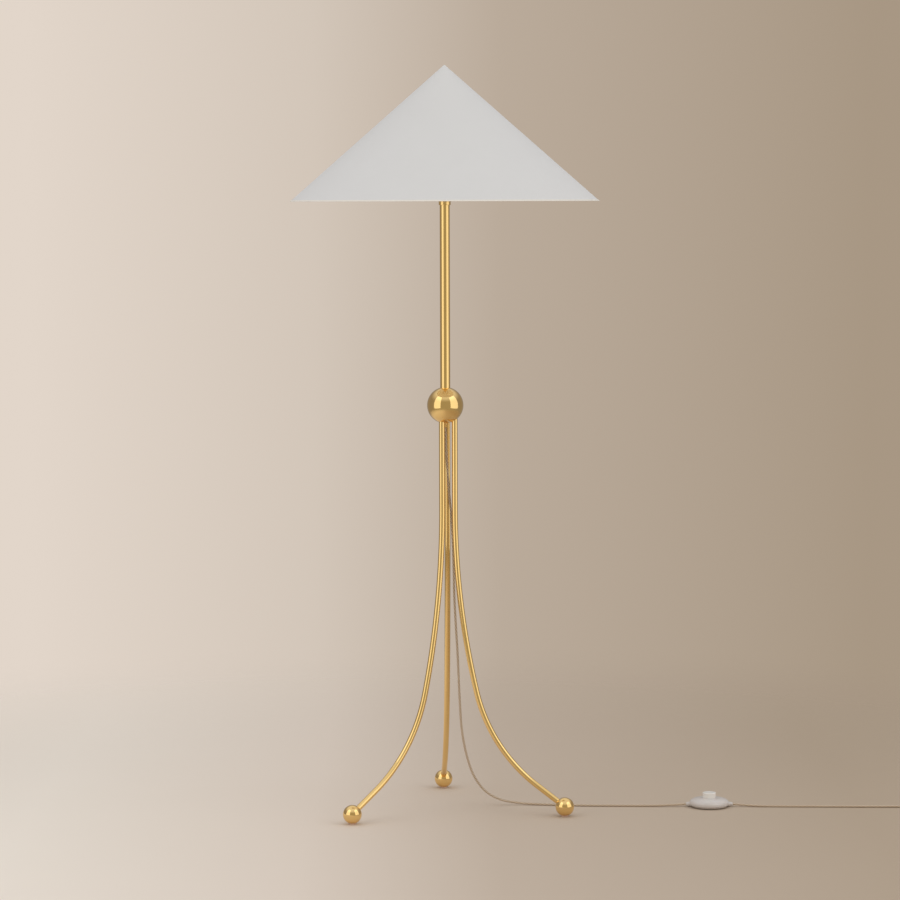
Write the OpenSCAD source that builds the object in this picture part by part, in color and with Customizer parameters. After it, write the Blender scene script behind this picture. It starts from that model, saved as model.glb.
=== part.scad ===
// Tripod floor lamp. A cone shade rests loose on a wire gallery over one screw-base bulb.
// A tube pole stands in a ball hub, and three flared tube legs end in ball feet.
// The cord drops from the hub, runs through a round foot switch and ends in a two-pin plug.
// Millimetres, +Z up. The origin is on the floor, on the pole's axis.

/* [Overall] */
// Height of the shade's tip above the floor
total_h = 1603; // [1330:1:1920]
// Height of the hub ball's centre above the floor
hub_z = 877; // [735:1:1050]
// How far the middle of the three legs lies to the right of the pole's axis
tripod_x = 5; // [0:0.5:5.5]
// Radius of the circle through the centres of the ball feet
foot_circle_r = 262; // [220:1:320]
// Direction of the left leg, in degrees from +X
leg_left_az = 219; // [205:0.5:235]
// Direction of the right leg, in degrees from +X
leg_right_az = 341.5; // [330:0.5:350]
// Direction of the back leg, in degrees from +X
leg_back_az = 92.5; // [80:0.5:105]

/* [Shade] */
// Radius of the shade at its rim
shade_r = 330; // [270:1:390]
// Height of the shade from rim to tip
shade_h = 290; // [240:1:348]
// Thickness of the outer cover
cover_t = 1.2; // [0.8:0.1:2]
// Thickness of the inner lining
lining_t = 0.8; // [0.5:0.1:1.5]
// Radius of the rim's wire
rim_wire_r = 1.5; // [1:0.1:2.5]
// Height of the trim tape on the outside
trim_h = 3.2; // [2:0.1:8]
// Thickness of the trim tape
trim_t = 0.6; // [0.4:0.1:1]
// Height of the carrier's underside above the rim
carrier_rise = 163; // [150:1:185]
// Width of the carrier ring
carrier_w = 18; // [12:1:22]
// Thickness of the carrier ring
carrier_t = 1.5; // [1:0.1:3]

/* [Gallery] */
// Width of the gallery ring
gallery_w = 12; // [8:1:16]
// Thickness of the gallery ring
gallery_t = 2; // [1.5:0.1:3]
// Radius of the gallery's arms
gallery_arm_r = 2.5; // [1.5:0.1:3]
// Radius of the gallery's centre plate
gallery_hub_r = 22; // [16:1:28]
// Thickness of the gallery's centre plate
gallery_hub_t = 3; // [2:0.1:5]
// Radius of the locating pegs
peg_r = 2; // [1.5:0.1:3]
// Height of the pegs above the gallery ring
peg_h = 6; // [4:0.5:10]

/* [Lamp holder and bulb] */
// Outer radius of the lamp holder
holder_r = 19; // [17:0.5:21]
// Height of the lamp holder's lower cap
holder_cap_h = 12; // [9:0.5:14]
// Height of the lamp holder's shell
holder_shell_h = 40; // [32:1:45]
// Wall of the cap and shell
holder_wall = 1.5; // [1:0.1:2]
// Thickness of the insulator
insulator_t = 12; // [8:0.5:14]
// Radius of the bulb's screw cap
bulb_cap_r = 13.1; // [12.5:0.1:13.5]
// Height of the bulb's screw cap
bulb_cap_h = 25; // [22:0.5:27]
// Radius of the bulb's glass
bulb_r = 30; // [25:0.5:35]
// Height of the bulb from contact to top
bulb_h = 108; // [100:1:115]

/* [Pole] */
// Radius of the pole
pole_r = 10.8; // [8.5:0.1:13]
// Wall of the pole
pole_wall = 1.5; // [1:0.1:2]
// Radius of the collar under the lamp holder
collar_r = 12.8; // [12.5:0.1:16]
// Height of the collar
collar_h = 12; // [10:0.5:20]
// How far the collar reaches below the rim
collar_drop = 8; // [4:0.5:10]
// Depth of the pole's seat in the collar
collar_seat = 6; // [4:0.5:8]
// Length of the threaded bush in each end of the pole
bush_h = 16; // [12:1:24]
// Outer radius of the threaded nipples
nipple_r = 5; // [4:0.1:5.5]
// Bore radius of the threaded nipples
nipple_bore_r = 3.5; // [3:0.1:4]

/* [Hub] */
// Radius of the hub ball
hub_r = 39; // [32:0.5:46]
// Depth of the pole's seat below the ball's top
hub_seat = 12; // [8:0.5:14]
// Depth of the nipple's thread below the pole's seat
hub_thread = 18; // [12:0.5:22]
// Radius of the circle through the leg sockets
socket_circle_r = 16; // [15:0.5:18]
// Depth of the leg sockets above the hub ball's flat
socket_depth = 25; // [18:0.5:28]

/* [Legs and feet] */
// Radius of the leg tubes
leg_r = 6.25; // [5.2:0.05:7]
// Wall of the leg tubes
leg_wall = 1.25; // [1:0.05:2]
// Height where the legs start to bend, below the hub's centre
leg_straight = 222; // [120:1:265]
// Lean of a leg at the end of its upper, gentle bend, in degrees
lean_upper = 13.9; // [8:0.1:16]
// Lean of a leg at its foot, in degrees
lean_lower = 55.5; // [48:0.1:70]
// Length of a leg's straight end, to the foot ball's centre
leg_tail = 75; // [24:1:90]
// Radius of the ball feet
foot_r = 20; // [16.5:0.5:24]
// How deep the flat under each ball foot cuts into the ball
foot_flat = 1.9; // [1.5:0.1:3]
// Radius of the pads under the feet
pad_r = 8.3; // [7:0.1:9]
// Thickness of the pads under the feet
pad_t = 3; // [2:0.1:5]
// Radius of the threaded studs
stud_r = 3; // [2.5:0.1:4]
// Length of a stud's thread
stud_thread = 10; // [8:0.5:12]
// Length of a stud's plug inside the leg
stud_plug = 14; // [10:0.5:18]

/* [Foot switch] */
// Radius of the switch at its seam
switch_r = 43; // [38:0.5:50]
// Radius of the switch's underside
switch_foot_r = 38; // [34:0.5:39]
// Height of the seam, where the cords enter
switch_seam_z = 6; // [5:0.1:7]
// Height of the straight band above the seam
switch_band = 3.5; // [1.5:0.1:4.5]
// Height of the cover's flat top
switch_top_z = 20; // [18.5:0.5:24]
// Radius of the cover's flat top
switch_top_r = 20; // [19:0.5:22]
// Wall of the switch's housing
switch_wall = 2; // [1.5:0.1:2.5]
// Radius of the push button
button_r = 14.5; // [12.5:0.5:15]
// Height of the push button above the cover
button_h = 12; // [8:0.5:14]
// Travel of the push button
button_travel = 4; // [2:0.5:4.5]

/* [Cord and plug] */
// Diameter of the cord
cord_d = 5; // [4.2:0.1:5.5]
// Length of the strain relief under the hub
hub_relief_l = 8; // [6:0.5:40]
// Length of the strain reliefs on the switch
switch_relief_l = 8; // [6:0.5:30]
// Length of the strain relief on the plug
plug_relief_l = 20; // [18:1:30]
// Mean radius of the stored coil
coil_r = 27.5; // [25:0.5:30]
// Thickness of the band around the coil
tie_t = 0.6; // [0.4:0.1:1]
// Width of the plug at its pins
plug_w = 35; // [32:0.5:38]
// Thickness of the plug
plug_t = 13.6; // [12:0.1:15]
// Length of the plug's body
plug_l = 36; // [32:1:40]
// Radius of the plug's pins
pin_r = 2; // [1.8:0.05:2.4]
// Length of the plug's pins outside the body
pin_l = 19; // [17:0.5:20]
// Distance between the plug's pins
pin_gap = 18.6; // [17:0.1:20]

/* [Fits] */
// Gap of pieces that are glued or pressed together
press_gap = 0.02; // [0.01:0.01:0.05]
// Gap of a glued skin
bond_gap = 0.1; // [0.05:0.01:0.2]
// Radial gap around threads and seats
seat_gap = 0.05; // [0.03:0.01:0.1]
// Gap around pieces that move or lift off
free_gap = 0.3; // [0.2:0.05:0.5]

/* [Hidden] */

// Finishes
brass = "#d9b36a";
steel = "#b9bcc0";
white_cloth = "#e4e2de";
cream = "#efe6d6";
opal = "#f3f1ea";
ceramic = "#ece9e2";
milky = "#d8d3d0";
clear_gold = "#a98f6c";
soft_pink = "#d9b8a8";
dark = "#3a3632";

// Heights up the axis
rim_z = total_h - shade_h;
collar_z = rim_z - collar_drop;
pole_top_z = collar_z + collar_seat;
collar_lip = 1;
collar_out_r = max(collar_r, pole_r + collar_lip);
gallery_z = collar_z + collar_h;
holder_z = gallery_z + gallery_hub_t;
shell_z = holder_z + holder_cap_h;
insulator_z = shell_z + 2;
lead_end_z = holder_z + 8;
contact_z = insulator_z + insulator_t;
contact_t = 1.5;
bulb_z = contact_z + contact_t + free_gap;
pole_bottom_z = hub_z + hub_r - hub_seat;
hub_thread_z = pole_bottom_z - hub_thread;
hub_flat_z = hub_z - hub_r + 1;
socket_top_z = hub_flat_z + socket_depth;
ring_z = rim_z + carrier_rise - free_gap - gallery_t;
carrier_z = rim_z + carrier_rise;

// The shade's wall lies along a cone of this slant, and depth is measured square to it
slant = sqrt(shade_r * shade_r + shade_h * shade_h);
function cone_r(z, depth) = shade_r * (1 - (z - rim_z) / shade_h) - depth * slant / shade_h;
function cone_tip_z(depth) = total_h - depth * slant / shade_r;
lining_depth = cover_t + bond_gap;
inside_depth = lining_depth + lining_t;

// The carrier is glued inside the lining, and the gallery ring sits under it
carrier_out = cone_r(carrier_z + carrier_t, inside_depth + bond_gap);
carrier_in = carrier_out - carrier_w;
gallery_out = carrier_out - 4;
gallery_in = gallery_out - gallery_w;
gallery_mid = (gallery_out + gallery_in) / 2;
glass_t = 1;
bulb_tip_h = 2;
terminal_y = 10;
terminal_r = 1.5;
nipple_top_z = holder_z + 7;
bushing_flange = 1.5;
bushing_depth = 11;
bushing_tail_z = hub_flat_z - bushing_flange - hub_relief_l;
lead_bore_r = 4;
arm_azimuths = [210, 330, 90];
peg_azimuths = [30, 150, 270];

// A leg's centre line in its own upright plane: straight down, a gentle arc, a tight arc,
// and a straight end that points at the foot ball's centre. The two arc radii are solved
// so that the line reaches the foot circle.
foot_z = pad_t + foot_r - foot_flat;
bend_z = hub_z - leg_straight;
tail_r = foot_circle_r - leg_tail * sin(lean_lower);
tail_z = foot_z + leg_tail * cos(lean_lower);
out_run = tail_r - socket_circle_r;
down_run = bend_z - tail_z;
m_a = 1 - cos(lean_upper);
m_b = cos(lean_upper) - cos(lean_lower);
m_c = sin(lean_upper);
m_d = sin(lean_lower) - sin(lean_upper);
arc_det = m_a * m_d - m_b * m_c;
upper_arc_r = (out_run * m_d - m_b * down_run) / arc_det;
lower_arc_r = (m_a * down_run - m_c * out_run) / arc_det;
foot_seat = foot_r / 2;
stud_gap_end = 2;
nest_step = 0.03;
nest_l = 1.5;

// The foot switch, its cords and the plug, placed along the floor
switch_x = 571;
switch_y = 24;
band_top_z = switch_seam_z + switch_band;
switch_floor = 1.5;
tray_z = switch_floor + switch_wall;
flange_top_z = switch_top_z - switch_wall - free_gap;
flange_t = 2;
block_top_z = flange_top_z - flange_t - button_travel - 4 * free_gap;
spring_wire_r = 0.6;
spring_r = 4.2;
spring_turns = 6;
spring_top_z = switch_top_z + 3;
screw_circle_r = 31;
screw_azimuths = [90, 210, 330];
screw_r = 1.4;
relief_neck_r = 4.5;
relief_wall = 0.9;
coil_x = 1060;
coil_layers = 2;
coil_z = tie_t;
coil_out_r = coil_r + cord_d;
coil_near_y = 8;
coil_y = coil_near_y + coil_out_r;
plug_x = coil_x + coil_out_r;
plug_relief_y = coil_y + sqrt(pow(coil_out_r + cord_d / 2, 2) - pow(coil_out_r, 2)) + 1.5;
plug_y = plug_relief_y + plug_relief_l;
plug_z = plug_t / 2;
pin_root_r = pin_r - 0.4;

// Route of the cord from the hub's strain relief to the switch
lead_route = [
    [0, 0, bushing_tail_z], [2, 0.5, 780], [6, 2, 710], [12, 4, 640],
    [15.5, 5, 580], [17.2, 6, 520], [18.5, 8, 460], [21.5, 9, 400], [25, 11, 340],
    [27.5, 14, 280], [30, 17, 225], [34, 21, 170], [44, 27, 115], [60, 33, 68],
    [85, 41, 33], [118, 48, 13], [160, 49, 4.8], [205, 44, 2.9], [250, 37, 2.6],
    [300, 31, 2.6], [350, 28, 2.6], [400, 26, 2.6], [445, 24.5, 2.9], [485, switch_y, 4.2],
    [switch_x - switch_r - switch_relief_l, switch_y, switch_seam_z]
];
// Route of the cord from the switch to the stored coil
mains_route = [
    [switch_x + switch_r + switch_relief_l, switch_y, switch_seam_z], [648, 22, 4.2],
    [680, 18.5, 2.8], [720, 16.2, 2.6], [760, 14.8, 2.6], [800, 13.4, 2.6], [860, 11.2, 2.6],
    [920, 9.3, 2.7], [980, coil_near_y, 2.9], [1042, coil_near_y, 3.1]
];

// A smooth curve through the points of a route, with steps points to each span
function blend(p0, p1, p2, p3, t) =
    0.5 * (2 * p1 + (p2 - p0) * t + (2 * p0 - 5 * p1 + 4 * p2 - p3) * t * t
        + (3 * p1 - p0 - 3 * p2 + p3) * t * t * t);
function curve(p, steps) = [
    for (i = [0 : len(p) - 2])
        for (k = [0 : steps - 1])
            blend(p[max(i - 1, 0)], p[i], p[i + 1], p[min(i + 2, len(p) - 1)], k / steps),
    p[len(p) - 1]
];
function unit(v) = v / norm(v);
function heading(p, i) = unit(p[min(i + 1, len(p) - 1)] - p[max(i - 1, 0)]);

// A tube of a given radius swept along a path; side is never parallel to the path
module swept_tube(path, r, sides, side) {
    n = len(path);
    points = [
        for (i = [0 : n - 1])
            let (u = unit(cross(heading(path, i), side)), v = cross(heading(path, i), u))
                for (k = [0 : sides - 1])
                    path[i] + r * (cos(360 * k / sides) * u + sin(360 * k / sides) * v)
    ];
    walls = [
        for (i = [0 : n - 2])
            for (k = [0 : sides - 1])
                [i * sides + k, i * sides + (k + 1) % sides,
                    (i + 1) * sides + (k + 1) % sides, (i + 1) * sides + k]
    ];
    near_end = [for (k = [sides - 1 : -1 : 0]) k];
    far_end = [for (k = [0 : sides - 1]) (n - 1) * sides + k];
    polyhedron(points, concat([near_end], walls, [far_end]), convexity = 10);
}

// A round shell between two radii
module pipe(r_out, r_in, h) {
    difference() {
        cylinder(r = r_out, h = h, $fn = 96);
        translate([0, 0, -1])
            cylinder(r = r_in, h = h + 2, $fn = 96);
    }
}

// A cone-shaped skin between two depths inside the shade's outer surface
module cone_skin(z_low, depth_out, depth_in) {
    rotate_extrude($fn = 180)
        polygon([
            [cone_r(z_low, depth_in), z_low], [cone_r(z_low, depth_out), z_low],
            [0, cone_tip_z(depth_out)], [0, cone_tip_z(depth_in)]
        ]);
}

module shade_cover() {
    color(white_cloth)
        cone_skin(rim_z + trim_t, 0, cover_t);
}

module shade_lining() {
    color(opal)
        cone_skin(rim_z + trim_t, lining_depth, inside_depth);
}

module rim_wire() {
    wire_z = rim_z + trim_t + rim_wire_r + 1.5;
    color(steel)
        rotate_extrude($fn = 180)
            translate([cone_r(wire_z, inside_depth + bond_gap + rim_wire_r), wire_z])
                circle(r = rim_wire_r, $fn = 32);
}

// Folded tape: outside lip, strip under the edge, and a turned-in lip
module rim_trim() {
    top_z = rim_z + trim_h;
    edge_z = rim_z + trim_t - bond_gap;
    color(cream)
        rotate_extrude($fn = 180)
            polygon([
                [cone_r(rim_z, inside_depth + 1), rim_z], [cone_r(rim_z, -trim_t), rim_z],
                [cone_r(top_z, -trim_t), top_z], [cone_r(top_z, -bond_gap), top_z],
                [cone_r(edge_z, -bond_gap), edge_z], [cone_r(edge_z, inside_depth + 1), edge_z]
            ]);
}

// Flat ring with a slanted glue lip, holed for the gallery's pegs
module shade_carrier() {
    lip_h = 10;
    lip_t = 1;
    glue = inside_depth + bond_gap;
    top_z = carrier_z + carrier_t;
    color(steel)
        difference() {
            rotate_extrude($fn = 180)
                polygon([
                    [carrier_in, carrier_z], [carrier_out, carrier_z], [carrier_out, top_z],
                    [cone_r(top_z + lip_h, glue), top_z + lip_h],
                    [cone_r(top_z + lip_h, glue + lip_t), top_z + lip_h],
                    [cone_r(top_z, glue + lip_t), top_z], [carrier_in, top_z]
                ]);
            for (az = peg_azimuths)
                rotate([0, 0, az])
                    translate([gallery_mid, 0, carrier_z - 1])
                        cylinder(r = peg_r + free_gap, h = carrier_t + 2, $fn = 32);
        }
}

module tip_block() {
    block_h = 18;
    depth = inside_depth + bond_gap;
    tip_z = cone_tip_z(depth);
    color(steel)
        rotate_extrude($fn = 96)
            polygon([[0, tip_z - block_h], [cone_r(tip_z - block_h, depth), tip_z - block_h], [0, tip_z]]);
}

module gallery_hub() {
    color(brass)
        translate([0, 0, gallery_z])
            pipe(gallery_hub_r, nipple_r + seat_gap, gallery_hub_t);
}

// Straight rod from the centre plate's edge up to the ring's underside
module gallery_arm(az) {
    low_z = gallery_z + gallery_hub_t / 2;
    run = gallery_mid - gallery_hub_r;
    rise = ring_z - low_z;
    extra = 6;
    color(brass)
        difference() {
            rotate([0, 0, az])
                translate([gallery_hub_r, 0, low_z])
                    rotate([0, atan2(run, rise), 0])
                        translate([0, 0, -extra])
                            cylinder(r = gallery_arm_r, h = norm([run, rise]) + 2 * extra, $fn = 32);
            translate([0, 0, gallery_z - 2 * extra])
                cylinder(r = gallery_hub_r, h = 4 * extra, $fn = 96);
            translate([0, 0, ring_z])
                cylinder(r = gallery_out + extra, h = 3 * extra, $fn = 96);
        }
}

module gallery_ring() {
    color(brass)
        difference() {
            translate([0, 0, ring_z])
                pipe(gallery_out, gallery_in, gallery_t);
            for (az = peg_azimuths)
                rotate([0, 0, az])
                    translate([gallery_mid, 0, ring_z - 1])
                        cylinder(r = peg_r + press_gap, h = gallery_t + 2, $fn = 32);
        }
}

module gallery_pegs() {
    color(brass)
        for (az = peg_azimuths)
            rotate([0, 0, az])
                translate([gallery_mid, 0, ring_z])
                    cylinder(r = peg_r, h = gallery_t + peg_h, $fn = 32);
}

// The glass is a ball on a neck that flares up from the screw cap
function bulb_profile(skin) =
    let (
        neck_r = bulb_cap_r - free_gap - skin,
        neck_z = bulb_z + bulb_cap_h,
        neck_h = 6,
        ball_z = bulb_z + bulb_h - bulb_r,
        ball_r = bulb_r - skin,
        low = -50,
        steps = 20
    )
    concat(
        [[0, neck_z], [neck_r, neck_z], [neck_r, neck_z + neck_h]],
        [
            for (k = [0 : steps])
                let (a = low + (90 - low) * k / steps)
                    [ball_r * cos(a), ball_z + ball_r * sin(a)]
        ]
    );

module bulb_glass() {
    color(opal)
        difference() {
            rotate_extrude($fn = 96)
                polygon(bulb_profile(0));
            translate([0, 0, glass_t])
                rotate_extrude($fn = 96)
                    polygon(bulb_profile(glass_t));
        }
}

module bulb_cap() {
    cap_floor = 3;
    cap_wall = 1;
    color(steel)
        translate([0, 0, bulb_z + bulb_tip_h])
            difference() {
                cylinder(r = bulb_cap_r, h = bulb_cap_h - bulb_tip_h, $fn = 96);
                translate([0, 0, cap_floor])
                    cylinder(r = bulb_cap_r - cap_wall, h = bulb_cap_h, $fn = 96);
            }
}

module bulb_contact() {
    tip_r = 3.5;
    base_r = 5;
    color(steel)
        translate([0, 0, bulb_z])
            cylinder(r1 = tip_r, r2 = base_r, h = bulb_tip_h, $fn = 48);
}

// A stem with four upright filaments
module bulb_filament() {
    strip_h = bulb_h - bulb_cap_h - bulb_r;
    strip_r = 0.9;
    strip_circle_r = 7;
    stem_r = 3;
    stem_h = strip_h - 8;
    disc_r = 8;
    disc_z = 10;
    disc_t = 2;
    color(cream)
        translate([0, 0, bulb_z + bulb_cap_h + glass_t]) {
            cylinder(r = stem_r, h = stem_h, $fn = 32);
            for (az = [45 : 90 : 315])
                rotate([0, 0, az])
                    translate([strip_circle_r, 0, disc_z + disc_t])
                        cylinder(r = strip_r, h = strip_h, $fn = 24);
            translate([0, 0, disc_z])
                cylinder(r = disc_r, h = disc_t, $fn = 32);
        }
}

module holder_cap() {
    low_r = 12.5;
    color(brass)
        difference() {
            translate([0, 0, holder_z])
                cylinder(r1 = low_r, r2 = holder_r, h = holder_cap_h, $fn = 96);
            translate([0, 0, holder_z + holder_wall])
                cylinder(r1 = low_r - holder_wall, r2 = holder_r - holder_wall,
                    h = holder_cap_h, $fn = 96);
            translate([0, 0, holder_z - 1])
                cylinder(r = nipple_r + seat_gap, h = holder_cap_h, $fn = 48);
        }
}

module holder_shell() {
    color(brass)
        translate([0, 0, shell_z])
            pipe(holder_r, holder_r - holder_wall, holder_shell_h);
}

module holder_insulator() {
    hole_h = 8;
    color(ceramic)
        difference() {
            translate([0, 0, insulator_z])
                cylinder(r = holder_r - holder_wall - bond_gap, h = insulator_t, $fn = 96);
            for (side = [-1, 1])
                translate([0, side * terminal_y, insulator_z - 1])
                    cylinder(r = terminal_r + seat_gap, h = hole_h + 1, $fn = 32);
        }
}

module screw_shell() {
    shell_wall = 0.6;
    shell_short = 3;
    color(brass)
        translate([0, 0, contact_z])
            pipe(bulb_cap_r + free_gap + shell_wall, bulb_cap_r + free_gap, bulb_cap_h - shell_short);
}

module centre_contact() {
    contact_r = 4;
    color(brass)
        translate([0, 0, contact_z])
            cylinder(r = contact_r, h = contact_t, $fn = 48);
}

module terminal_screws() {
    head_r = 2.8;
    head_h = 1.8;
    shank_h = 7;
    overlap = 0.2;
    color(steel)
        for (side = [-1, 1])
            translate([0, side * terminal_y, insulator_z]) {
                translate([0, 0, -head_h])
                    cylinder(r = head_r, h = head_h, $fn = 32);
                translate([0, 0, -overlap])
                    cylinder(r = terminal_r, h = shank_h, $fn = 32);
            }
}

module top_nipple() {
    color(steel)
        translate([0, 0, pole_top_z - bush_h])
            pipe(nipple_r, nipple_bore_r, nipple_top_z - pole_top_z + bush_h);
}

// Round cup over the pole's top, its lower edge turned
module pole_collar() {
    edge = 1.6;
    color(brass)
        difference() {
            union() {
                translate([0, 0, collar_z + edge])
                    cylinder(r = collar_out_r, h = collar_h - edge, $fn = 96);
                translate([0, 0, collar_z])
                    cylinder(r = collar_out_r - edge, h = edge, $fn = 96);
                translate([0, 0, collar_z + edge])
                    rotate_extrude($fn = 96)
                        translate([collar_out_r - edge, 0])
                            circle(r = edge, $fn = 32);
            }
            translate([0, 0, collar_z - 1])
                cylinder(r = pole_r + seat_gap, h = collar_seat + 1, $fn = 96);
            translate([0, 0, collar_z])
                cylinder(r = nipple_r + seat_gap, h = collar_h + 1, $fn = 48);
        }
}

module pole_tube() {
    color(brass)
        translate([0, 0, pole_bottom_z])
            pipe(pole_r, pole_r - pole_wall, pole_top_z - pole_bottom_z);
}

module pole_bush(z) {
    color(steel)
        translate([0, 0, z])
            pipe(pole_r - pole_wall - press_gap, nipple_r + seat_gap, bush_h);
}

module pole_top_bush() {
    pole_bush(pole_top_z - bush_h);
}

module pole_bottom_bush() {
    pole_bush(pole_bottom_z);
}

module hub_nipple() {
    color(steel)
        translate([0, 0, hub_thread_z])
            pipe(nipple_r, nipple_bore_r, hub_thread + bush_h);
}

module inner_lead() {
    color(clear_gold)
        translate([0, 0, bushing_tail_z])
            cylinder(r = cord_d / 2, h = lead_end_z - bushing_tail_z, $fn = 32);
}

// Turns a leg's own frame about the middle of the tripod: +X runs out along the leg
module at_leg(az) {
    translate([tripod_x, 0, 0])
        rotate([0, 0, az])
            children();
}

// Ball drilled from above for the pole and its nipple, and from below for the cord and legs
module hub_ball() {
    color(brass)
        difference() {
            translate([0, 0, hub_z])
                sphere(r = hub_r, $fn = 128);
            translate([0, 0, hub_flat_z - 10])
                cylinder(r = hub_r, h = 10, $fn = 96);
            translate([0, 0, pole_bottom_z])
                cylinder(r = pole_r + seat_gap, h = hub_r, $fn = 96);
            translate([0, 0, hub_thread_z])
                cylinder(r = nipple_r + seat_gap, h = hub_r, $fn = 48);
            translate([0, 0, hub_flat_z - 1])
                cylinder(r = lead_bore_r, h = hub_r * 2, $fn = 48);
            translate([0, 0, hub_flat_z - 1])
                cylinder(r = nipple_r + seat_gap, h = bushing_depth + 2, $fn = 48);
            for (az = [leg_left_az, leg_right_az, leg_back_az])
                at_leg(az)
                    translate([socket_circle_r, 0, 0]) {
                        translate([0, 0, hub_z - hub_r])
                            cylinder(r = leg_r + seat_gap, h = socket_top_z - hub_z + hub_r, $fn = 64);
                        translate([0, 0, socket_top_z - 1])
                            cylinder(r = stud_r + seat_gap, h = stud_thread + 2, $fn = 32);
                    }
        }
}

// Plug-in bushing with a short tapered tail that the cord leaves by. Its flange stays
// clear of the left leg, the one nearest to the axis.
module hub_bushing() {
    tail_wall = 1.8;
    flange_w = 1;
    left_socket = [tripod_x + socket_circle_r * cos(leg_left_az), socket_circle_r * sin(leg_left_az)];
    flange_r = min(nipple_r + flange_w, norm(left_socket) - leg_r - free_gap);
    color(brass)
        difference() {
            rotate_extrude($fn = 64)
                polygon([
                    [0, bushing_tail_z], [cord_d / 2 + relief_wall, bushing_tail_z],
                    [cord_d / 2 + tail_wall, hub_flat_z - bushing_flange],
                    [flange_r, hub_flat_z - bushing_flange], [flange_r, hub_flat_z],
                    [nipple_r, hub_flat_z], [nipple_r, hub_flat_z + bushing_depth],
                    [0, hub_flat_z + bushing_depth]
                ]);
            translate([0, 0, bushing_tail_z - 1])
                cylinder(r = cord_d / 2 + seat_gap, h = hub_relief_l + 20, $fn = 48);
        }
}

// Section of a leg tube, thinner by one step for each bend above it, so that the end of
// every stretch nests in the one before and the stretches make one solid
module tube_end(step) {
    difference() {
        circle(r = leg_r - step * nest_step, $fn = 48);
        circle(r = leg_r - leg_wall + step * nest_step, $fn = 48);
    }
}

// One stretch of leg tube bent round an arc, from one lean angle to another
module bent_tube(x, z, r, from, to, step) {
    start = from - nest_l / r * 180 / PI;
    translate([x, 0, z])
        rotate([90, 0, 0])
            rotate([0, 0, 180 + start])
                rotate_extrude(angle = to - start, $fn = 240)
                    translate([r, 0])
                        tube_end(step);
}

module leg(az) {
    upper_x = socket_circle_r + upper_arc_r;
    lower_x = upper_x - (upper_arc_r - lower_arc_r) * cos(lean_upper);
    lower_z = bend_z - (upper_arc_r - lower_arc_r) * sin(lean_upper);
    color(brass)
        at_leg(az) {
            translate([socket_circle_r, 0, bend_z])
                linear_extrude(socket_top_z - bend_z)
                    tube_end(0);
            bent_tube(upper_x, bend_z, upper_arc_r, 0, lean_upper, 1);
            bent_tube(lower_x, lower_z, lower_arc_r, lean_upper, lean_lower, 2);
            translate([tail_r, 0, tail_z])
                rotate([0, 180 - lean_lower, 0])
                    translate([0, 0, -nest_l])
                        linear_extrude(leg_tail - foot_seat + nest_l)
                            tube_end(3);
        }
}

module leg_left() {
    leg(leg_left_az);
}

module leg_right() {
    leg(leg_right_az);
}

module leg_back() {
    leg(leg_back_az);
}

// Shouldered stud, standing on its plug: the plug is brazed in the tube
module stud() {
    translate([0, 0, -stud_plug])
        cylinder(r = leg_r - leg_wall - press_gap, h = stud_plug, $fn = 48);
    translate([0, 0, -0.5])
        cylinder(r = stud_r, h = stud_thread - stud_gap_end + 0.5, $fn = 32);
}

module leg_top_studs() {
    color(steel)
        for (az = [leg_left_az, leg_right_az, leg_back_az])
            at_leg(az)
                translate([socket_circle_r, 0, socket_top_z])
                    stud();
}

// Turns a foot's own frame to its leg: +Z runs along the leg's end, into the ball
module at_foot(az) {
    at_leg(az)
        translate([foot_circle_r, 0, foot_z])
            rotate([0, 180 - lean_lower, 0])
                children();
}

module leg_foot_studs() {
    color(steel)
        for (az = [leg_left_az, leg_right_az, leg_back_az])
            at_foot(az)
                translate([0, 0, -foot_seat])
                    stud();
}

module foot_ball(az) {
    spigot_h = 6;
    color(brass)
        difference() {
            at_leg(az)
                translate([foot_circle_r, 0, foot_z])
                    sphere(r = foot_r, $fn = 96);
            at_leg(az)
                translate([foot_circle_r, 0, pad_t - foot_r])
                    cylinder(r = foot_r, h = foot_r, $fn = 64);
            at_leg(az)
                translate([foot_circle_r, 0, pad_t - 1])
                    cylinder(r = stud_r, h = spigot_h + 1, $fn = 32);
            at_foot(az)
                translate([0, 0, -2 * foot_r])
                    cylinder(r = leg_r + seat_gap, h = 2 * foot_r - foot_seat, $fn = 64);
            at_foot(az)
                translate([0, 0, -foot_seat - 1])
                    cylinder(r = stud_r + seat_gap, h = stud_thread + 1, $fn = 32);
        }
}

module foot_ball_left() {
    foot_ball(leg_left_az);
}

module foot_ball_right() {
    foot_ball(leg_right_az);
}

module foot_ball_back() {
    foot_ball(leg_back_az);
}

module foot_pad(az) {
    spigot_h = 5;
    overlap = 0.5;
    color(soft_pink)
        at_leg(az)
            translate([foot_circle_r, 0, 0]) {
                cylinder(r = pad_r, h = pad_t, $fn = 64);
                translate([0, 0, pad_t - overlap])
                    cylinder(r = stud_r - press_gap, h = spigot_h + overlap, $fn = 32);
            }
}

module foot_pad_left() {
    foot_pad(leg_left_az);
}

module foot_pad_right() {
    foot_pad(leg_right_az);
}

module foot_pad_back() {
    foot_pad(leg_back_az);
}

module at_switch() {
    translate([switch_x, switch_y, 0])
        children();
}

// Round openings in both side walls, half in the base and half in the cover
module cord_entries() {
    inward = 8;
    outward = 4;
    for (side = [-1, 1])
        translate([side * (switch_r - inward), 0, switch_seam_z])
            rotate([0, side * 90, 0])
                cylinder(r = relief_neck_r + seat_gap, h = inward + outward, $fn = 48);
}

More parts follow.
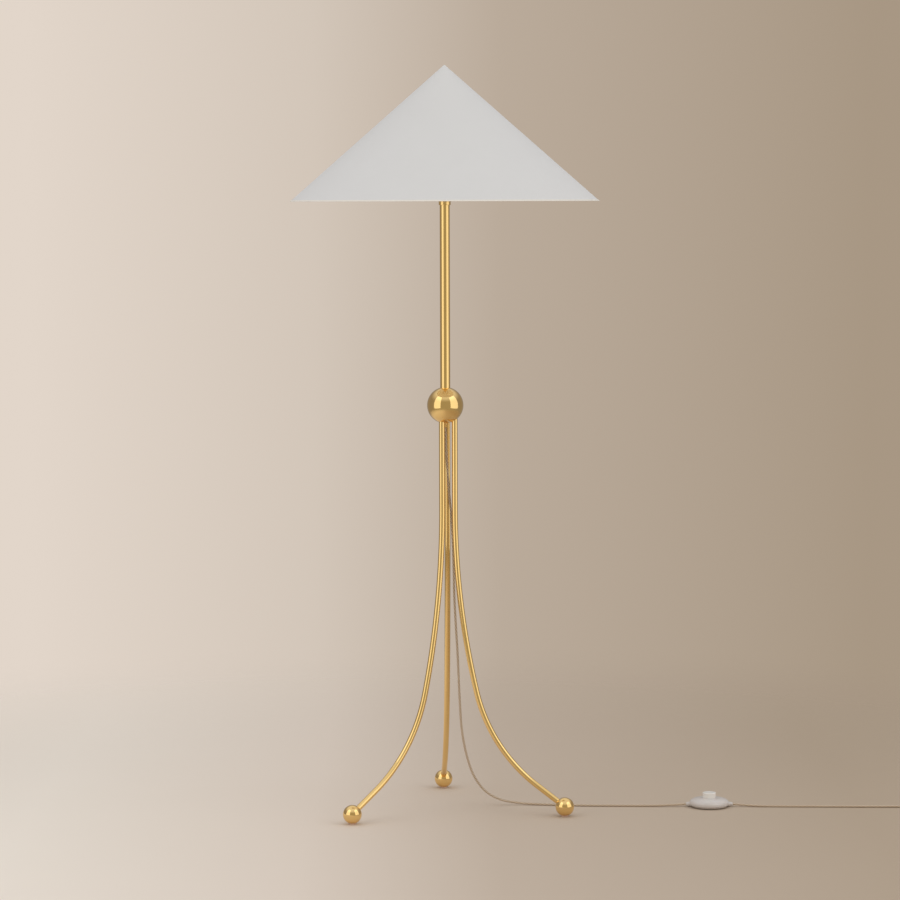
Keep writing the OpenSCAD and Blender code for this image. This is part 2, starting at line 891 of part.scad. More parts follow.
// Tray with three screw bosses
module switch_base() {
    boss_r = 3.6;
    head_bore_r = 3;
    head_bore_h = 2;
    color(milky)
        at_switch()
            difference() {
                union() {
                    difference() {
                        translate([0, 0, switch_floor])
                            cylinder(r1 = switch_foot_r, r2 = switch_r,
                                h = switch_seam_z - switch_floor, $fn = 128);
                        translate([0, 0, tray_z])
                            cylinder(r1 = switch_foot_r - switch_wall, r2 = switch_r - switch_wall,
                                h = switch_seam_z - tray_z, $fn = 128);
                        translate([0, 0, switch_seam_z - seat_gap])
                            cylinder(r = switch_r + 1, h = 2, $fn = 128);
                    }
                    for (az = screw_azimuths)
                        rotate([0, 0, az])
                            translate([screw_circle_r, 0, switch_floor])
                                cylinder(r = boss_r, h = switch_seam_z - switch_floor - seat_gap, $fn = 48);
                }
                for (az = screw_azimuths)
                    rotate([0, 0, az])
                        translate([screw_circle_r, 0, switch_floor - 1]) {
                            cylinder(r = screw_r + free_gap, h = switch_seam_z, $fn = 32);
                            cylinder(r = head_bore_r, h = head_bore_h + 1, $fn = 32);
                        }
                cord_entries();
            }
}

// Flat top with a shoulder rounded to an upright band: a quarter of an ellipse, which
// starts at the band on radius r and ends on the flat top's edge at height top
function shoulder(r, top) = [
    for (t = [0 : 7.5 : 90])
        [switch_top_r + (r - switch_top_r) * cos(t), band_top_z + (top - band_top_z) * sin(t)]
];

// Shouldered cover, holed for the button, with posts that take the screws
module switch_cover() {
    inner_r = switch_r - switch_wall;
    inner_top = switch_top_z - switch_wall;
    post_r = 3.2;
    post_inset = 0.6;
    reach = (screw_circle_r + post_r + free_gap - switch_top_r) / (switch_r - switch_top_r);
    post_top = band_top_z + (switch_top_z - band_top_z) * sqrt(1 - reach * reach) - post_inset;
    thread_h = 4;
    color(milky)
        at_switch()
            difference() {
                union() {
                    difference() {
                        rotate_extrude($fn = 96)
                            polygon(concat([[0, switch_seam_z], [switch_r, switch_seam_z]],
                                shoulder(switch_r, switch_top_z), [[0, switch_top_z]]));
                        rotate_extrude($fn = 96)
                            polygon(concat([[0, switch_seam_z - 1], [inner_r, switch_seam_z - 1]],
                                shoulder(inner_r, inner_top), [[0, inner_top]]));
                    }
                    for (az = screw_azimuths)
                        rotate([0, 0, az])
                            translate([screw_circle_r, 0, switch_seam_z])
                                cylinder(r = post_r, h = post_top - switch_seam_z, $fn = 48);
                }
                translate([0, 0, switch_top_z - 2 * switch_wall])
                    cylinder(r = button_r + free_gap, h = 3 * switch_wall, $fn = 96);
                for (az = screw_azimuths)
                    rotate([0, 0, az])
                        translate([screw_circle_r, 0, switch_seam_z - 1])
                            cylinder(r = screw_r + press_gap, h = thread_h + 1, $fn = 32);
                cord_entries();
            }
}

// Cap with a rounded top edge, a retaining flange, and a blind hole for the spring
module switch_button() {
    edge = 2;
    flange_w = 1.5;
    spring_room = 1.4;
    top_z = switch_top_z + button_h;
    flange_z = flange_top_z - flange_t;
    color(opal)
        at_switch()
            difference() {
                union() {
                    translate([0, 0, flange_z])
                        cylinder(r = button_r, h = top_z - edge - flange_z, $fn = 96);
                    translate([0, 0, top_z - edge])
                        cylinder(r = button_r - edge, h = edge, $fn = 96);
                    translate([0, 0, top_z - edge])
                        rotate_extrude($fn = 96)
                            translate([button_r - edge, 0])
                                circle(r = edge, $fn = 32);
                    translate([0, 0, flange_z])
                        cylinder(r = button_r + flange_w, h = flange_t, $fn = 96);
                }
                translate([0, 0, flange_z - 1])
                    cylinder(r = spring_r + spring_room, h = spring_top_z + spring_wire_r + 1 - flange_z,
                        $fn = 48);
            }
}

module switch_spring() {
    low_z = block_top_z + spring_wire_r + bond_gap;
    high_z = spring_top_z - spring_wire_r - bond_gap;
    steps = 12;
    path = [
        for (k = [0 : spring_turns * steps])
            [spring_r * cos(360 * k / steps), spring_r * sin(360 * k / steps),
                low_z + (high_z - low_z) * k / (spring_turns * steps)]
    ];
    color(steel)
        at_switch()
            swept_tube(path, spring_wire_r, 8, [0, 0, 1]);
}

module switch_block() {
    block_l = 24;
    block_w = 18;
    post_r = 2.6;
    post_h = 3;
    overlap = 0.5;
    color(ceramic)
        at_switch() {
            translate([-block_l / 2, -block_w / 2, tray_z])
                cube([block_l, block_w, block_top_z - tray_z]);
            translate([0, 0, block_top_z - overlap])
                cylinder(r = post_r, h = post_h + overlap, $fn = 32);
        }
}

module switch_terminals() {
    length = 6.5;
    width = 5;
    near_x = 12.5;
    near_y = 2;
    color(brass)
        at_switch()
            for (x = [-near_x - length, near_x], y = [-near_y - width, near_y])
                translate([x, y, tray_z])
                    cube([length, width, width]);
}

// Three screws driven up from the underside
module switch_screws() {
    head_r = 2.7;
    head_h = 1.8;
    recess = 0.2;
    bite = 3;
    color(steel)
        at_switch()
            for (az = screw_azimuths)
                rotate([0, 0, az])
                    translate([screw_circle_r, 0, 0]) {
                        translate([0, 0, switch_floor + recess])
                            cylinder(r = head_r, h = head_h, $fn = 32);
                        translate([0, 0, switch_floor + head_h])
                            cylinder(r = screw_r, h = switch_seam_z + bite - switch_floor - head_h,
                                $fn = 32);
                    }
}

module switch_pads() {
    disc_r = 5;
    inset = 9;
    color(dark)
        at_switch()
            for (az = [45 : 90 : 315])
                rotate([0, 0, az])
                    translate([switch_foot_r - inset, 0, 0])
                        cylinder(r = disc_r, h = switch_floor, $fn = 48);
}

// Tapered sleeve whose neck fills the opening between the base and the cover
module switch_relief(side) {
    tip_r = cord_d / 2 + relief_wall;
    root_wall = 3;
    root_r = cord_d / 2 + root_wall;
    neck_in = 5;
    shoulder = 0.2;
    color(milky)
        at_switch()
            translate([side * switch_r, 0, switch_seam_z])
                rotate([0, side * 90, 0]) {
                    translate([0, 0, shoulder])
                        cylinder(r1 = root_r, r2 = tip_r, h = switch_relief_l - shoulder, $fn = 48);
                    translate([0, 0, -neck_in])
                        cylinder(r = relief_neck_r, h = neck_in + 1, $fn = 48);
                }
}

module switch_relief_in() {
    switch_relief(-1);
}

module switch_relief_out() {
    switch_relief(1);
}

module cord_to_switch() {
    color(clear_gold)
        swept_tube(curve(lead_route, 2), cord_d / 2, 10, [0, 1, 0]);
}

module cord_to_coil() {
    color(clear_gold)
        swept_tube(curve(mains_route, 3), cord_d / 2, 10, [0, 1, 0]);
}

// Outer shape of the stored coil: two layers, three cords wide, with round edges
module cord_coil() {
    r = cord_d / 2;
    coil_h = coil_layers * cord_d;
    color(clear_gold)
        translate([coil_x, coil_y, coil_z])
            rotate_extrude($fn = 96)
                union() {
                    translate([coil_r - cord_d, 0])
                        square([2 * cord_d, coil_h]);
                    translate([coil_r - cord_d - r, r])
                        square([3 * cord_d, coil_h - cord_d]);
                    for (x = [coil_r - cord_d, coil_r + cord_d], z = [r, coil_h - r])
                        translate([x, z])
                            circle(r = r, $fn = 32);
                }
}

// Band round the coil's section, on the side away from the lamp
module coil_tie() {
    width = 9;
    azimuth = 135;
    hole_r = coil_r - 1.5 * cord_d;
    inner = sqrt(hole_r * hole_r - width * width / 4) - bond_gap;
    outer = coil_r + 1.5 * cord_d + bond_gap;
    top_z = coil_z + coil_layers * cord_d + bond_gap;
    color(dark)
        translate([coil_x, coil_y, 0])
            rotate([0, 0, azimuth])
                difference() {
                    translate([inner - tie_t, -width / 2, 0])
                        cube([outer - inner + 2 * tie_t, width, top_z + tie_t]);
                    translate([inner, -width, coil_z - bond_gap / 2])
                        cube([outer - inner, 2 * width, top_z - coil_z + bond_gap / 2]);
                }
}

// Flat body, narrow at the cord and wide at the pins, holed for the pins' roots
module plug_body() {
    heel_w = 13;
    corner = 4;
    flare_end = plug_l - 16;
    root_l = 11;
    color(milky)
        translate([plug_x, plug_y, 0])
            difference() {
                linear_extrude(plug_t)
                    polygon([
                        [-heel_w / 2, 0], [heel_w / 2, 0], [plug_w / 2, flare_end],
                        [plug_w / 2, plug_l - corner], [plug_w / 2 - corner, plug_l],
                        [corner - plug_w / 2, plug_l], [-plug_w / 2, plug_l - corner],
                        [-plug_w / 2, flare_end]
                    ]);
                for (side = [-1, 1])
                    translate([side * pin_gap / 2, plug_l - root_l, plug_z])
                        rotate([-90, 0, 0])
                            cylinder(r = pin_root_r + press_gap, h = root_l + 1, $fn = 32);
            }
}

module plug_pins() {
    tip = 1;
    pin_tip_r = pin_r - 0.6;
    root_l = 10.5;
    color(steel)
        translate([plug_x, plug_y + plug_l, plug_z])
            for (side = [-1, 1])
                translate([side * pin_gap / 2, 0, 0])
                    rotate([-90, 0, 0]) {
                        translate([0, 0, -root_l])
                            cylinder(r = pin_root_r, h = root_l + tip, $fn = 32);
                        cylinder(r = pin_r, h = pin_l - tip, $fn = 32);
                        translate([0, 0, pin_l - tip])
                            cylinder(r1 = pin_r, r2 = pin_tip_r, h = tip, $fn = 32);
                    }
}

module plug_relief() {
    root_wall = 2.4;
    color(milky)
        translate([plug_x, plug_relief_y, plug_z])
            rotate([-90, 0, 0])
                cylinder(r1 = cord_d / 2 + relief_wall, r2 = cord_d / 2 + root_wall, h = plug_relief_l,
                    $fn = 48);
}

shade_cover();
shade_lining();
rim_wire();
rim_trim();
shade_carrier();
tip_block();
gallery_hub();
gallery_arm(arm_azimuths[0]);  // gallery_arm_left
gallery_arm(arm_azimuths[1]);  // gallery_arm_right
gallery_arm(arm_azimuths[2]);  // gallery_arm_back
gallery_ring();
gallery_pegs();
bulb_glass();
bulb_cap();
bulb_contact();
bulb_filament();
holder_cap();
holder_shell();
holder_insulator();
screw_shell();
centre_contact();
terminal_screws();
top_nipple();
pole_collar();
pole_tube();
pole_top_bush();
pole_bottom_bush();
hub_nipple();
inner_lead();
hub_ball();
hub_bushing();
leg_left();
leg_right();
leg_back();
leg_top_studs();
leg_foot_studs();
foot_ball_left();
foot_ball_right();
foot_ball_back();
foot_pad_left();
foot_pad_right();
foot_pad_back();
switch_base();
switch_cover();
switch_button();
switch_spring();
switch_block();
switch_terminals();
switch_screws();
switch_pads();
switch_relief_in();
switch_relief_out();
cord_to_switch();
cord_to_coil();
cord_coil();
coil_tie();
plug_body();
plug_pins();
plug_relief();
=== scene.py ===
import math

import bpy
import numpy as np
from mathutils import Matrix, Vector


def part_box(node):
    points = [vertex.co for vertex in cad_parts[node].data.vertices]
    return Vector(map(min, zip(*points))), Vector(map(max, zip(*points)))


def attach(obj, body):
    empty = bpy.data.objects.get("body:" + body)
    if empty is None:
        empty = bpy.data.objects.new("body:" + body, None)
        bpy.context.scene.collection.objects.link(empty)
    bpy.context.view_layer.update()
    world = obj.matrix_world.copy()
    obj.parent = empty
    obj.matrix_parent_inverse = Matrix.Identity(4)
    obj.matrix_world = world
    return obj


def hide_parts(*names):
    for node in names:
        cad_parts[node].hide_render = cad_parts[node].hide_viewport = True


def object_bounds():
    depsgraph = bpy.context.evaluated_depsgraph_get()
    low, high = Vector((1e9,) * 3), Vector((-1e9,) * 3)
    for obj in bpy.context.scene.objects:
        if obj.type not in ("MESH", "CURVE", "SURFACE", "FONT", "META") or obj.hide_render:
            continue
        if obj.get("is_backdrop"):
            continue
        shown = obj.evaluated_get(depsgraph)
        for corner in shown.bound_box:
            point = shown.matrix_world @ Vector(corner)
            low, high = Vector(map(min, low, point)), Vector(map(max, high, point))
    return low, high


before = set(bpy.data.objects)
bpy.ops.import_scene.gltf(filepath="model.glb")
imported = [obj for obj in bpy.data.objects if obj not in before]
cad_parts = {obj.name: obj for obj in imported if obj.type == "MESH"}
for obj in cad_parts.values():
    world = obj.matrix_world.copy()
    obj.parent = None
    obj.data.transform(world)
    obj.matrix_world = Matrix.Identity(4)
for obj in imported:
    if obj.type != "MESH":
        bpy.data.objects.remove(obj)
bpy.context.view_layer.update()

print("frame loaded")


camera = {
    "place": (0.0099, -6.948, 1.3136),  # metres
    "pitch": 4.387,                    # degrees below the horizon
    "roll": -0.15,                     # degrees about the line of sight
    "lens": 129.84,                    # mm on a 36 mm sensor
}


def makeCamera():
    data = bpy.data.cameras.new("camera")
    data.lens = camera["lens"]
    data.sensor_width = 36
    data.clip_end = 200
    made = bpy.data.objects.new("camera", data)
    bpy.context.scene.collection.objects.link(made)
    tilt, roll = math.radians(90 - camera["pitch"]), math.radians(camera["roll"])
    # tilt up from straight down, then turn about its own line of sight
    made.rotation_mode = "QUATERNION"
    half = (math.cos(tilt / 2), math.sin(tilt / 2), math.cos(roll / 2), math.sin(roll / 2))
    made.rotation_quaternion = (
        half[0] * half[2], half[1] * half[2], -half[1] * half[3], half[0] * half[3])
    made.location = camera["place"]
    bpy.context.scene.camera = made


makeCamera()
bpy.context.scene.view_settings.view_transform = "Standard"
print("camera set")


def gridFaces(rows, cols, wrapRows=False):
    # four-sided faces over a grid whose columns always join round; also each corner's own
    # row and column, not wrapped, for its texture place
    a, b = np.meshgrid(np.arange(rows if wrapRows else rows - 1), np.arange(cols), indexing="ij")
    row = np.stack([a, a, a + 1, a + 1], -1).reshape(-1, 4)
    col = np.stack([b, b + 1, b + 1, b], -1).reshape(-1, 4)
    return (row % rows) * cols + col % cols, row, col


def buildPiece(name, points, faces, uv=None):
    mesh = bpy.data.meshes.new(name)
    mesh.from_pydata(points.tolist(), [], faces)
    if uv is not None:
        layer = mesh.uv_layers.new(name="UVMap")
        layer.data.foreach_set("uv", np.asarray(uv, np.float32).ravel())
    mesh.shade_smooth()
    made = bpy.data.objects.new(name, mesh)
    bpy.context.scene.collection.objects.link(made)
    return made


def place(made, finish, body, slotName, *nodes):
    made.data.materials.append(finish)
    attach(made, body)
    if nodes:
        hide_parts(*nodes)
    return made


def softened(corners, radius, steps=5, closed=True):
    # each corner of an outline becomes an arc that touches both its sides, with one more
    # point on each side just past the arc, so that the flats keep flat shading
    pts = np.asarray(corners, float)
    out = []
    last = len(pts) - 1
    for i, p in enumerate(pts):
        if not closed and i in (0, last):
            out.append(p)
            continue
        toPrev, toNext = pts[i - 1] - p, pts[(i + 1) % len(pts)] - p
        lenPrev, lenNext = np.linalg.norm(toPrev), np.linalg.norm(toNext)
        toPrev, toNext = toPrev / lenPrev, toNext / lenNext
        angle = math.acos(np.clip(toPrev @ toNext, -1, 1))
        if math.pi - angle < 0.05:
            out.append(p)
            continue
        reach = min(radius / math.tan(angle / 2), 0.42 * lenPrev, 0.42 * lenNext)
        r = reach * math.tan(angle / 2)
        bisect = (toPrev + toNext) / np.linalg.norm(toPrev + toNext)
        centre = p + bisect * r / math.sin(angle / 2)
        a, b = p + toPrev * reach - centre, p + toNext * reach - centre
        turn = math.atan2(a[0] * b[1] - a[1] * b[0], a @ b)
        spins = np.linspace(0, turn, steps + 1)
        arc = np.stack([a[0] * np.cos(spins) - a[1] * np.sin(spins),
                        a[0] * np.sin(spins) + a[1] * np.cos(spins)], 1) + centre
        out.append(p + toPrev * reach * 1.15)
        out.extend(arc)
        out.append(p + toNext * reach * 1.15)
    return np.array(out)


def turned(name, profile, columns=96, centre=(0, 0, 0), closed=False, angles=None,
           swell=None, uvRule=None):
    # a profile of (radius, height) pairs carried round an upright axis: the point at angle t
    # is (radius cos t, radius sin t, height); swell adds to the radius by angle and height,
    # and an open profile starts and ends on the axis, where its fans of triangles meet
    prof = np.asarray(profile, float)
    t = np.linspace(0, 2 * math.pi, columns, endpoint=False) if angles is None else angles
    along = np.concatenate([[0], np.cumsum(np.linalg.norm(np.diff(prof, axis=0), axis=1))])
    body = prof if closed else prof[1:-1]
    bodyAlong = along if closed else along[1:-1]
    r = np.repeat(body[:, :1], len(t), 1)
    z = np.repeat(body[:, 1:], len(t), 1)
    if swell is not None:
        r = r + swell(t[None, :], z, r)
    points = np.stack([r * np.cos(t), r * np.sin(t), z], -1).reshape(-1, 3)
    quads, row, col = gridFaces(len(body), len(t), closed)
    tAll = np.append(t, t[0] + 2 * math.pi)
    alongAll = np.append(bodyAlong, along[-1])
    rAll = np.append(body[:, 0], body[0, 0])
    rule = uvRule or (lambda angle, far, rad: (angle * body[:, 0].max(), far))
    uv = [np.stack(rule(tAll[col], alongAll[row], rAll[row]), -1).reshape(-1, 2)]
    faces = quads.tolist()
    if not closed:
        n, k = len(points), np.arange(len(t))
        nextK = (k + 1) % len(t)
        base = (len(body) - 1) * len(t)
        low = np.stack([np.full(len(t), n), nextK, k], 1)
        high = np.stack([np.full(len(t), n + 1), base + k, base + nextK], 1)
        points = np.vstack([points, [0, 0, prof[0, 1]], [0, 0, prof[-1, 1]]])
        faces += low.tolist() + high.tolist()
        mid = (tAll[:-1] + tAll[1:]) / 2
        for far, edge, order in ((along[0], bodyAlong[0], (1, 0)), (along[-1], bodyAlong[-1], (0, 1))):
            edgeR = body[0, 0] if order == (1, 0) else body[-1, 0]
            tip = np.stack(rule(mid, np.full(len(t), far), np.zeros(len(t))), -1)
            sides = [np.stack(rule(tAll[o:o + len(t)], np.full(len(t), edge),
                                   np.full(len(t), edgeR)), -1) for o in order]
            uv.append(np.stack([tip] + sides, 1).reshape(-1, 2))
    return buildPiece(name, points + np.asarray(centre, float), faces, np.vstack(uv))


def swept(name, path, radii, columns=24, across=(0, 0, 1), flatness=1.0, power=2.0):
    # a ring carried along a path: each ring lies square to the path, its first direction is
    # square to both the path and the vector across, and both ends close on the path; power
    # above 2 squares the ring's shape and flatness shrinks its second direction
    line = np.asarray(path, float)
    r = np.broadcast_to(np.asarray(radii, float), (len(line),))
    heading = np.gradient(line, axis=0)
    heading /= np.linalg.norm(heading, axis=1, keepdims=True)
    first = np.cross(heading, np.asarray(across, float))
    first /= np.linalg.norm(first, axis=1, keepdims=True)
    second = np.cross(heading, first)
    t = np.linspace(0, 2 * math.pi, columns, endpoint=False)
    cosT = np.sign(np.cos(t)) * np.abs(np.cos(t)) ** (2 / power)
    sinT = np.sign(np.sin(t)) * np.abs(np.sin(t)) ** (2 / power) * flatness
    rings = line[:, None] + r[:, None, None] * (
        cosT[None, :, None] * first[:, None] + sinT[None, :, None] * second[:, None])
    along = np.concatenate([[0], np.cumsum(np.linalg.norm(np.diff(line, axis=0), axis=1))])
    quads, row, col = gridFaces(len(line), columns)
    points = np.vstack([rings.reshape(-1, 3), line[:1], line[-1:]])
    n, k = len(line) * columns, np.arange(columns)
    nextK, base = (k + 1) % columns, (len(line) - 1) * columns
    low = np.stack([np.full(columns, n), nextK, k], 1)
    high = np.stack([np.full(columns, n + 1), base + k, base + nextK], 1)
    uv = np.stack([col / columns, along[row]], -1).reshape(-1, 2)
    ends = [np.stack([np.full(3 * columns, 0.5), np.full(3 * columns, far)], 1)
            for far in (along[0], along[-1])]
    return buildPiece(name, points, quads.tolist() + low.tolist() + high.tolist(),
                      np.vstack([uv] + ends))


def roundedEnds(path, r, ease=0.25):
    # the path with four more points at each end, and radii that round the two ends' edges
    line = np.asarray(path, float)
    spins = np.linspace(0, math.pi / 2, 5)
    small = r * ease
    head = (line[1] - line[0]) / np.linalg.norm(line[1] - line[0])
    tail = (line[-1] - line[-2]) / np.linalg.norm(line[-1] - line[-2])
    start = [line[0] + head * small * (1 - math.sin(s)) for s in spins]
    end = [line[-1] - tail * small * (1 - math.sin(s)) for s in spins]
    rims = [r - small * (1 - math.cos(s)) for s in spins]
    full = np.vstack([start[::-1], line[1:-1], end])
    return full, np.concatenate([rims[::-1], np.full(len(line) - 2, r), rims])


def smoothLine(points, steps):
    # the curve through every point that leaves each one along its neighbours' chord
    p = np.asarray(points, float)
    p = np.vstack([2 * p[0] - p[1], p, 2 * p[-1] - p[-2]])
    t = np.linspace(0, 1, steps, endpoint=False)[None, :, None]
    p0, p1, p2, p3 = (p[i:len(p) - 3 + i, None] for i in range(4))
    spans = 0.5 * (2 * p1 + (p2 - p0) * t + (2 * p0 - 5 * p1 + 4 * p2 - p3) * t ** 2
                   + (3 * p1 - p0 - 3 * p2 + p3) * t ** 3)
    return np.vstack([spans.reshape(-1, 3), p[-2]])


def lineLength(line):
    return float(np.linalg.norm(np.diff(line, axis=0), axis=1).sum())


class Signal:
    # a shader socket that adds Math nodes when it is used in an expression
    def __init__(self, finish, socket):
        self.finish, self.socket = finish, socket

    def math(self, operation, *values):
        return self.finish.add("ShaderNodeMath", {"operation": operation},
                               dict(enumerate(values)))

    def __add__(self, other):
        return self.math("ADD", self, other)

    def __mul__(self, other):
        return self.math("MULTIPLY", self, other)

    def __sub__(self, other):
        return self.math("SUBTRACT", self, other)

    def __rsub__(self, other):
        return self.math("SUBTRACT", other, self)

    def __truediv__(self, other):
        return self.math("DIVIDE", self, other)

    def __pow__(self, other):
        return self.math("POWER", self, other)

    __radd__ = __add__
    __rmul__ = __mul__

    def wave(self):
        return self.math("SINE", self)


class Finish:
    # one material, or a world; add() makes any node, its settings first and sockets after
    def __init__(self, name, holder=None):
        self.material = holder or bpy.data.materials.new(name)
        self.material.use_nodes = True
        self.tree = self.material.node_tree
        self.tree.nodes.clear()
        self.coords = None

    def add(self, kind, settings=None, values=None, out=0):
        node = self.tree.nodes.new(kind)
        for key, value in (settings or {}).items():
            if key == "stops":
                ramp = node.color_ramp
                while len(ramp.elements) < len(value):
                    ramp.elements.new(0.5)
                for element, (position, colour) in zip(ramp.elements, value):
                    element.position, element.color = position, colour
            else:
                setattr(node, key, value)
        for key, value in (values or {}).items():
            if isinstance(value, Signal):
                self.tree.links.new(value.socket, node.inputs[key])
            else:
                node.inputs[key].default_value = value
        return Signal(self, node.outputs[out])

    def where(self, kind="Object"):
        if self.coords is None:
            self.coords = self.add("ShaderNodeTexCoord", out="Object").socket.node
        return Signal(self, self.coords.outputs[kind])

    def mapped(self, scale, kind="Object"):
        return self.add("ShaderNodeMapping", None, {"Vector": self.where(kind), "Scale": scale})

    def axes(self, kind="Object"):
        split = self.add("ShaderNodeSeparateXYZ", None, {"Vector": self.where(kind)}).socket.node
        return [Signal(self, socket) for socket in split.outputs]

    def noise(self, scale, detail=3.0, rough=0.5, vector=None):
        return self.add("ShaderNodeTexNoise", None, {
            "Vector": vector or self.where(), "Scale": scale, "Detail": detail,
            "Roughness": rough})

    def ramp(self, value, stops):
        return self.add("ShaderNodeValToRGB", {"stops": stops}, {0: value})

    def blend(self, factor, first, second, way="MIX"):
        return self.add("ShaderNodeMix", {"data_type": "RGBA", "blend_type": way},
                        {0: factor, 6: first, 7: second}, out=2)

    def between(self, value, low, high):
        # carries 0..1 to low..high
        return value * (high - low) + low

    def bump(self, height, distance, strength=1.0, before=None):
        values = {"Height": height, "Distance": distance, "Strength": strength}
        if before is not None:
            values["Normal"] = before
        return self.add("ShaderNodeBump", None, values)

    def surface(self, values):
        return self.output(self.add("ShaderNodeBsdfPrincipled", None, values))

    def output(self, shader):
        end = self.tree.nodes.new("ShaderNodeOutputMaterial")
        self.tree.links.new(shader.socket, end.inputs["Surface"])
        return self.material


def rgb(r, g, b):
    return (r, g, b, 1.0)


brass = {
    "bright": rgb(0.93, 0.66, 0.275),
    "deep": rgb(0.89, 0.60, 0.225),
    "pale": rgb(0.95, 0.71, 0.34),
    "roughLow": 0.035,
    "roughHigh": 0.11,
    "lineDepth": 0.00000012,
}


def brassFinish(name, scale, kind="Object"):
    # polished and lacquered: drawn or spun lines, faint clouding and a few dull handling marks
    f = Finish(name)
    lines = f.noise(1.0, 4, 0.6, f.mapped(scale, kind))
    cloud = f.noise(9.0, 3, 0.55)
    marks = f.noise(55.0, 5, 0.65)
    colour = f.blend(cloud, brass["bright"], brass["deep"])
    colour = f.blend(lines * 0.2, colour, brass["pale"])
    rough = f.between(lines * 0.6 + marks * 0.4, brass["roughLow"], brass["roughHigh"])
    return f.surface({
        "Base Color": colour, "Metallic": 1.0, "Roughness": rough, "Coat Weight": 0.25,
        "Coat Roughness": 0.04, "Normal": f.bump(lines, brass["lineDepth"], 0.5)})


def clothFinish():
    # plain weave over the flat-cut sheet: two sets of threads, slubs and a faint mottle
    f = Finish("shadeCloth")
    u, v, _ = f.axes("UV")
    pitch = 2 * math.pi / 0.00055
    warp, weft = (u * pitch).wave(), (v * pitch).wave()
    slub = f.noise(1.0, 3, 0.6, f.mapped((90, 1400, 1), "UV"))
    slubAcross = f.noise(1.0, 3, 0.6, f.mapped((1400, 90, 1), "UV"))
    mottle = f.noise(14.0, 4, 0.6)
    weave = warp * weft * 0.5 + slub * 0.6 + slubAcross * 0.6
    colour = f.blend(mottle, rgb(0.79, 0.80, 0.83), rgb(0.82, 0.83, 0.86))
    colour = f.blend(slub * 0.3, colour, rgb(0.75, 0.76, 0.79))
    return f.surface({
        "Base Color": colour, "Roughness": f.between(slub, 0.78, 0.92),
        "Sheen Weight": 0.15, "Sheen Roughness": 0.5, "Specular IOR Level": 0.25,
        "Normal": f.bump(weave, 0.00008, 0.5)})


def liningFinish():
    # satin sheet with a faint orange peel, and a painted glow: an emission that stands in for the
    # daylight that the shade lets through
    f = Finish("liningSheet")
    peel = f.noise(900.0, 2, 0.5)
    mottle = f.noise(10.0, 3, 0.6)
    return f.surface({
        "Base Color": f.blend(mottle, rgb(0.88, 0.87, 0.84), rgb(0.83, 0.82, 0.79)),
        "Roughness": f.between(peel, 0.38, 0.55), "Normal": f.bump(peel, 0.00003, 0.4),
        # painted glow: the lining gives off light though it is no lamp
        "Emission Color": f.blend(mottle, rgb(1.0, 0.95, 0.86), rgb(0.93, 0.87, 0.77)),
        "Emission Strength": 0.2})


def tapeFinish():
    # ribbed tape: fine ribs across its width and a slight stain along it
    f = Finish("rimTape")
    u, v, _ = f.axes("UV")
    rib = (u * (2 * math.pi / 0.0007)).wave()
    stain = f.noise(1.0, 4, 0.6, f.mapped((30, 400, 1), "UV"))
    return f.surface({
        "Base Color": f.blend(stain, rgb(0.93, 0.90, 0.86), rgb(0.90, 0.86, 0.81)),
        "Roughness": f.between(stain, 0.6, 0.8), "Sheen Weight": 0.2,
        "Normal": f.bump(rib + stain, 0.00006, 0.5)})


def metalFinish(name, light, dark, roughLow, roughHigh, scale):
    # plated or plain metal with turning lines and uneven plating
    f = Finish(name)
    lines = f.noise(1.0, 4, 0.6, f.mapped(scale))
    cloud = f.noise(120.0, 4, 0.6)
    return f.surface({
        "Base Color": f.blend(cloud, light, dark), "Metallic": 1.0,
        "Roughness": f.between(lines * 0.5 + cloud * 0.5, roughLow, roughHigh),
        "Normal": f.bump(lines, 0.00003, 0.5)})


def mouldedFinish(name, light, dark, roughLow, roughHigh, grain, depth, under=0.0, coat=0.0):
    # moulded plastic or rubber: fine surface grain, flow marks, and light under the surface
    f = Finish(name)
    fine = f.noise(grain, 3, 0.6)
    flow = f.noise(1.0, 3, 0.6, f.mapped((60, 60, 180)))
    values = {
        "Base Color": f.blend(flow, light, dark),
        "Roughness": f.between(fine, roughLow, roughHigh), "Coat Weight": coat,
        "Normal": f.bump(fine, depth, 0.5)}
    if under:
        values["Subsurface Weight"] = under
        values["Subsurface Radius"] = (0.9, 0.8, 0.75)
        values["Subsurface Scale"] = 0.004
    return f.surface(values)


def opalFinish():
    # white-coated glass with faint pooling of the coat
    f = Finish("opalGlass")
    pool = f.noise(45.0, 3, 0.5)
    return f.surface({
        "Base Color": f.blend(pool, rgb(0.93, 0.92, 0.89), rgb(0.87, 0.86, 0.82)),
        "Roughness": f.between(pool, 0.18, 0.3), "Coat Weight": 0.6, "Coat Roughness": 0.03,
        "Transmission Weight": 0.25})


def sheathFinish():
    # clear sheath over twisted strands: the strands show as slanted gold and dark lines
    f = Finish("cordSheath")
    u, v, _ = f.axes("UV")
    twist = (u * (8 * math.pi) + v * 700.0).wave()
    strand = (u * (28 * math.pi) + v * 2300.0).wave()
    mottle = f.noise(260.0, 3, 0.6)
    colour = f.ramp(twist * 0.35 + strand * 0.12 + 0.5, [
        (0.15, rgb(0.26, 0.19, 0.13)), (0.45, rgb(0.52, 0.40, 0.28)),
        (0.7, rgb(0.74, 0.59, 0.43)), (0.95, rgb(0.84, 0.68, 0.55))])
    return f.surface({
        "Base Color": f.blend(mottle * 0.3, colour, rgb(0.45, 0.37, 0.29)),
        "Roughness": f.between(mottle, 0.2, 0.34), "Coat Weight": 0.7, "Coat Roughness": 0.08,
        "Normal": f.bump(strand * 0.3 + mottle, 0.00003, 0.4)})


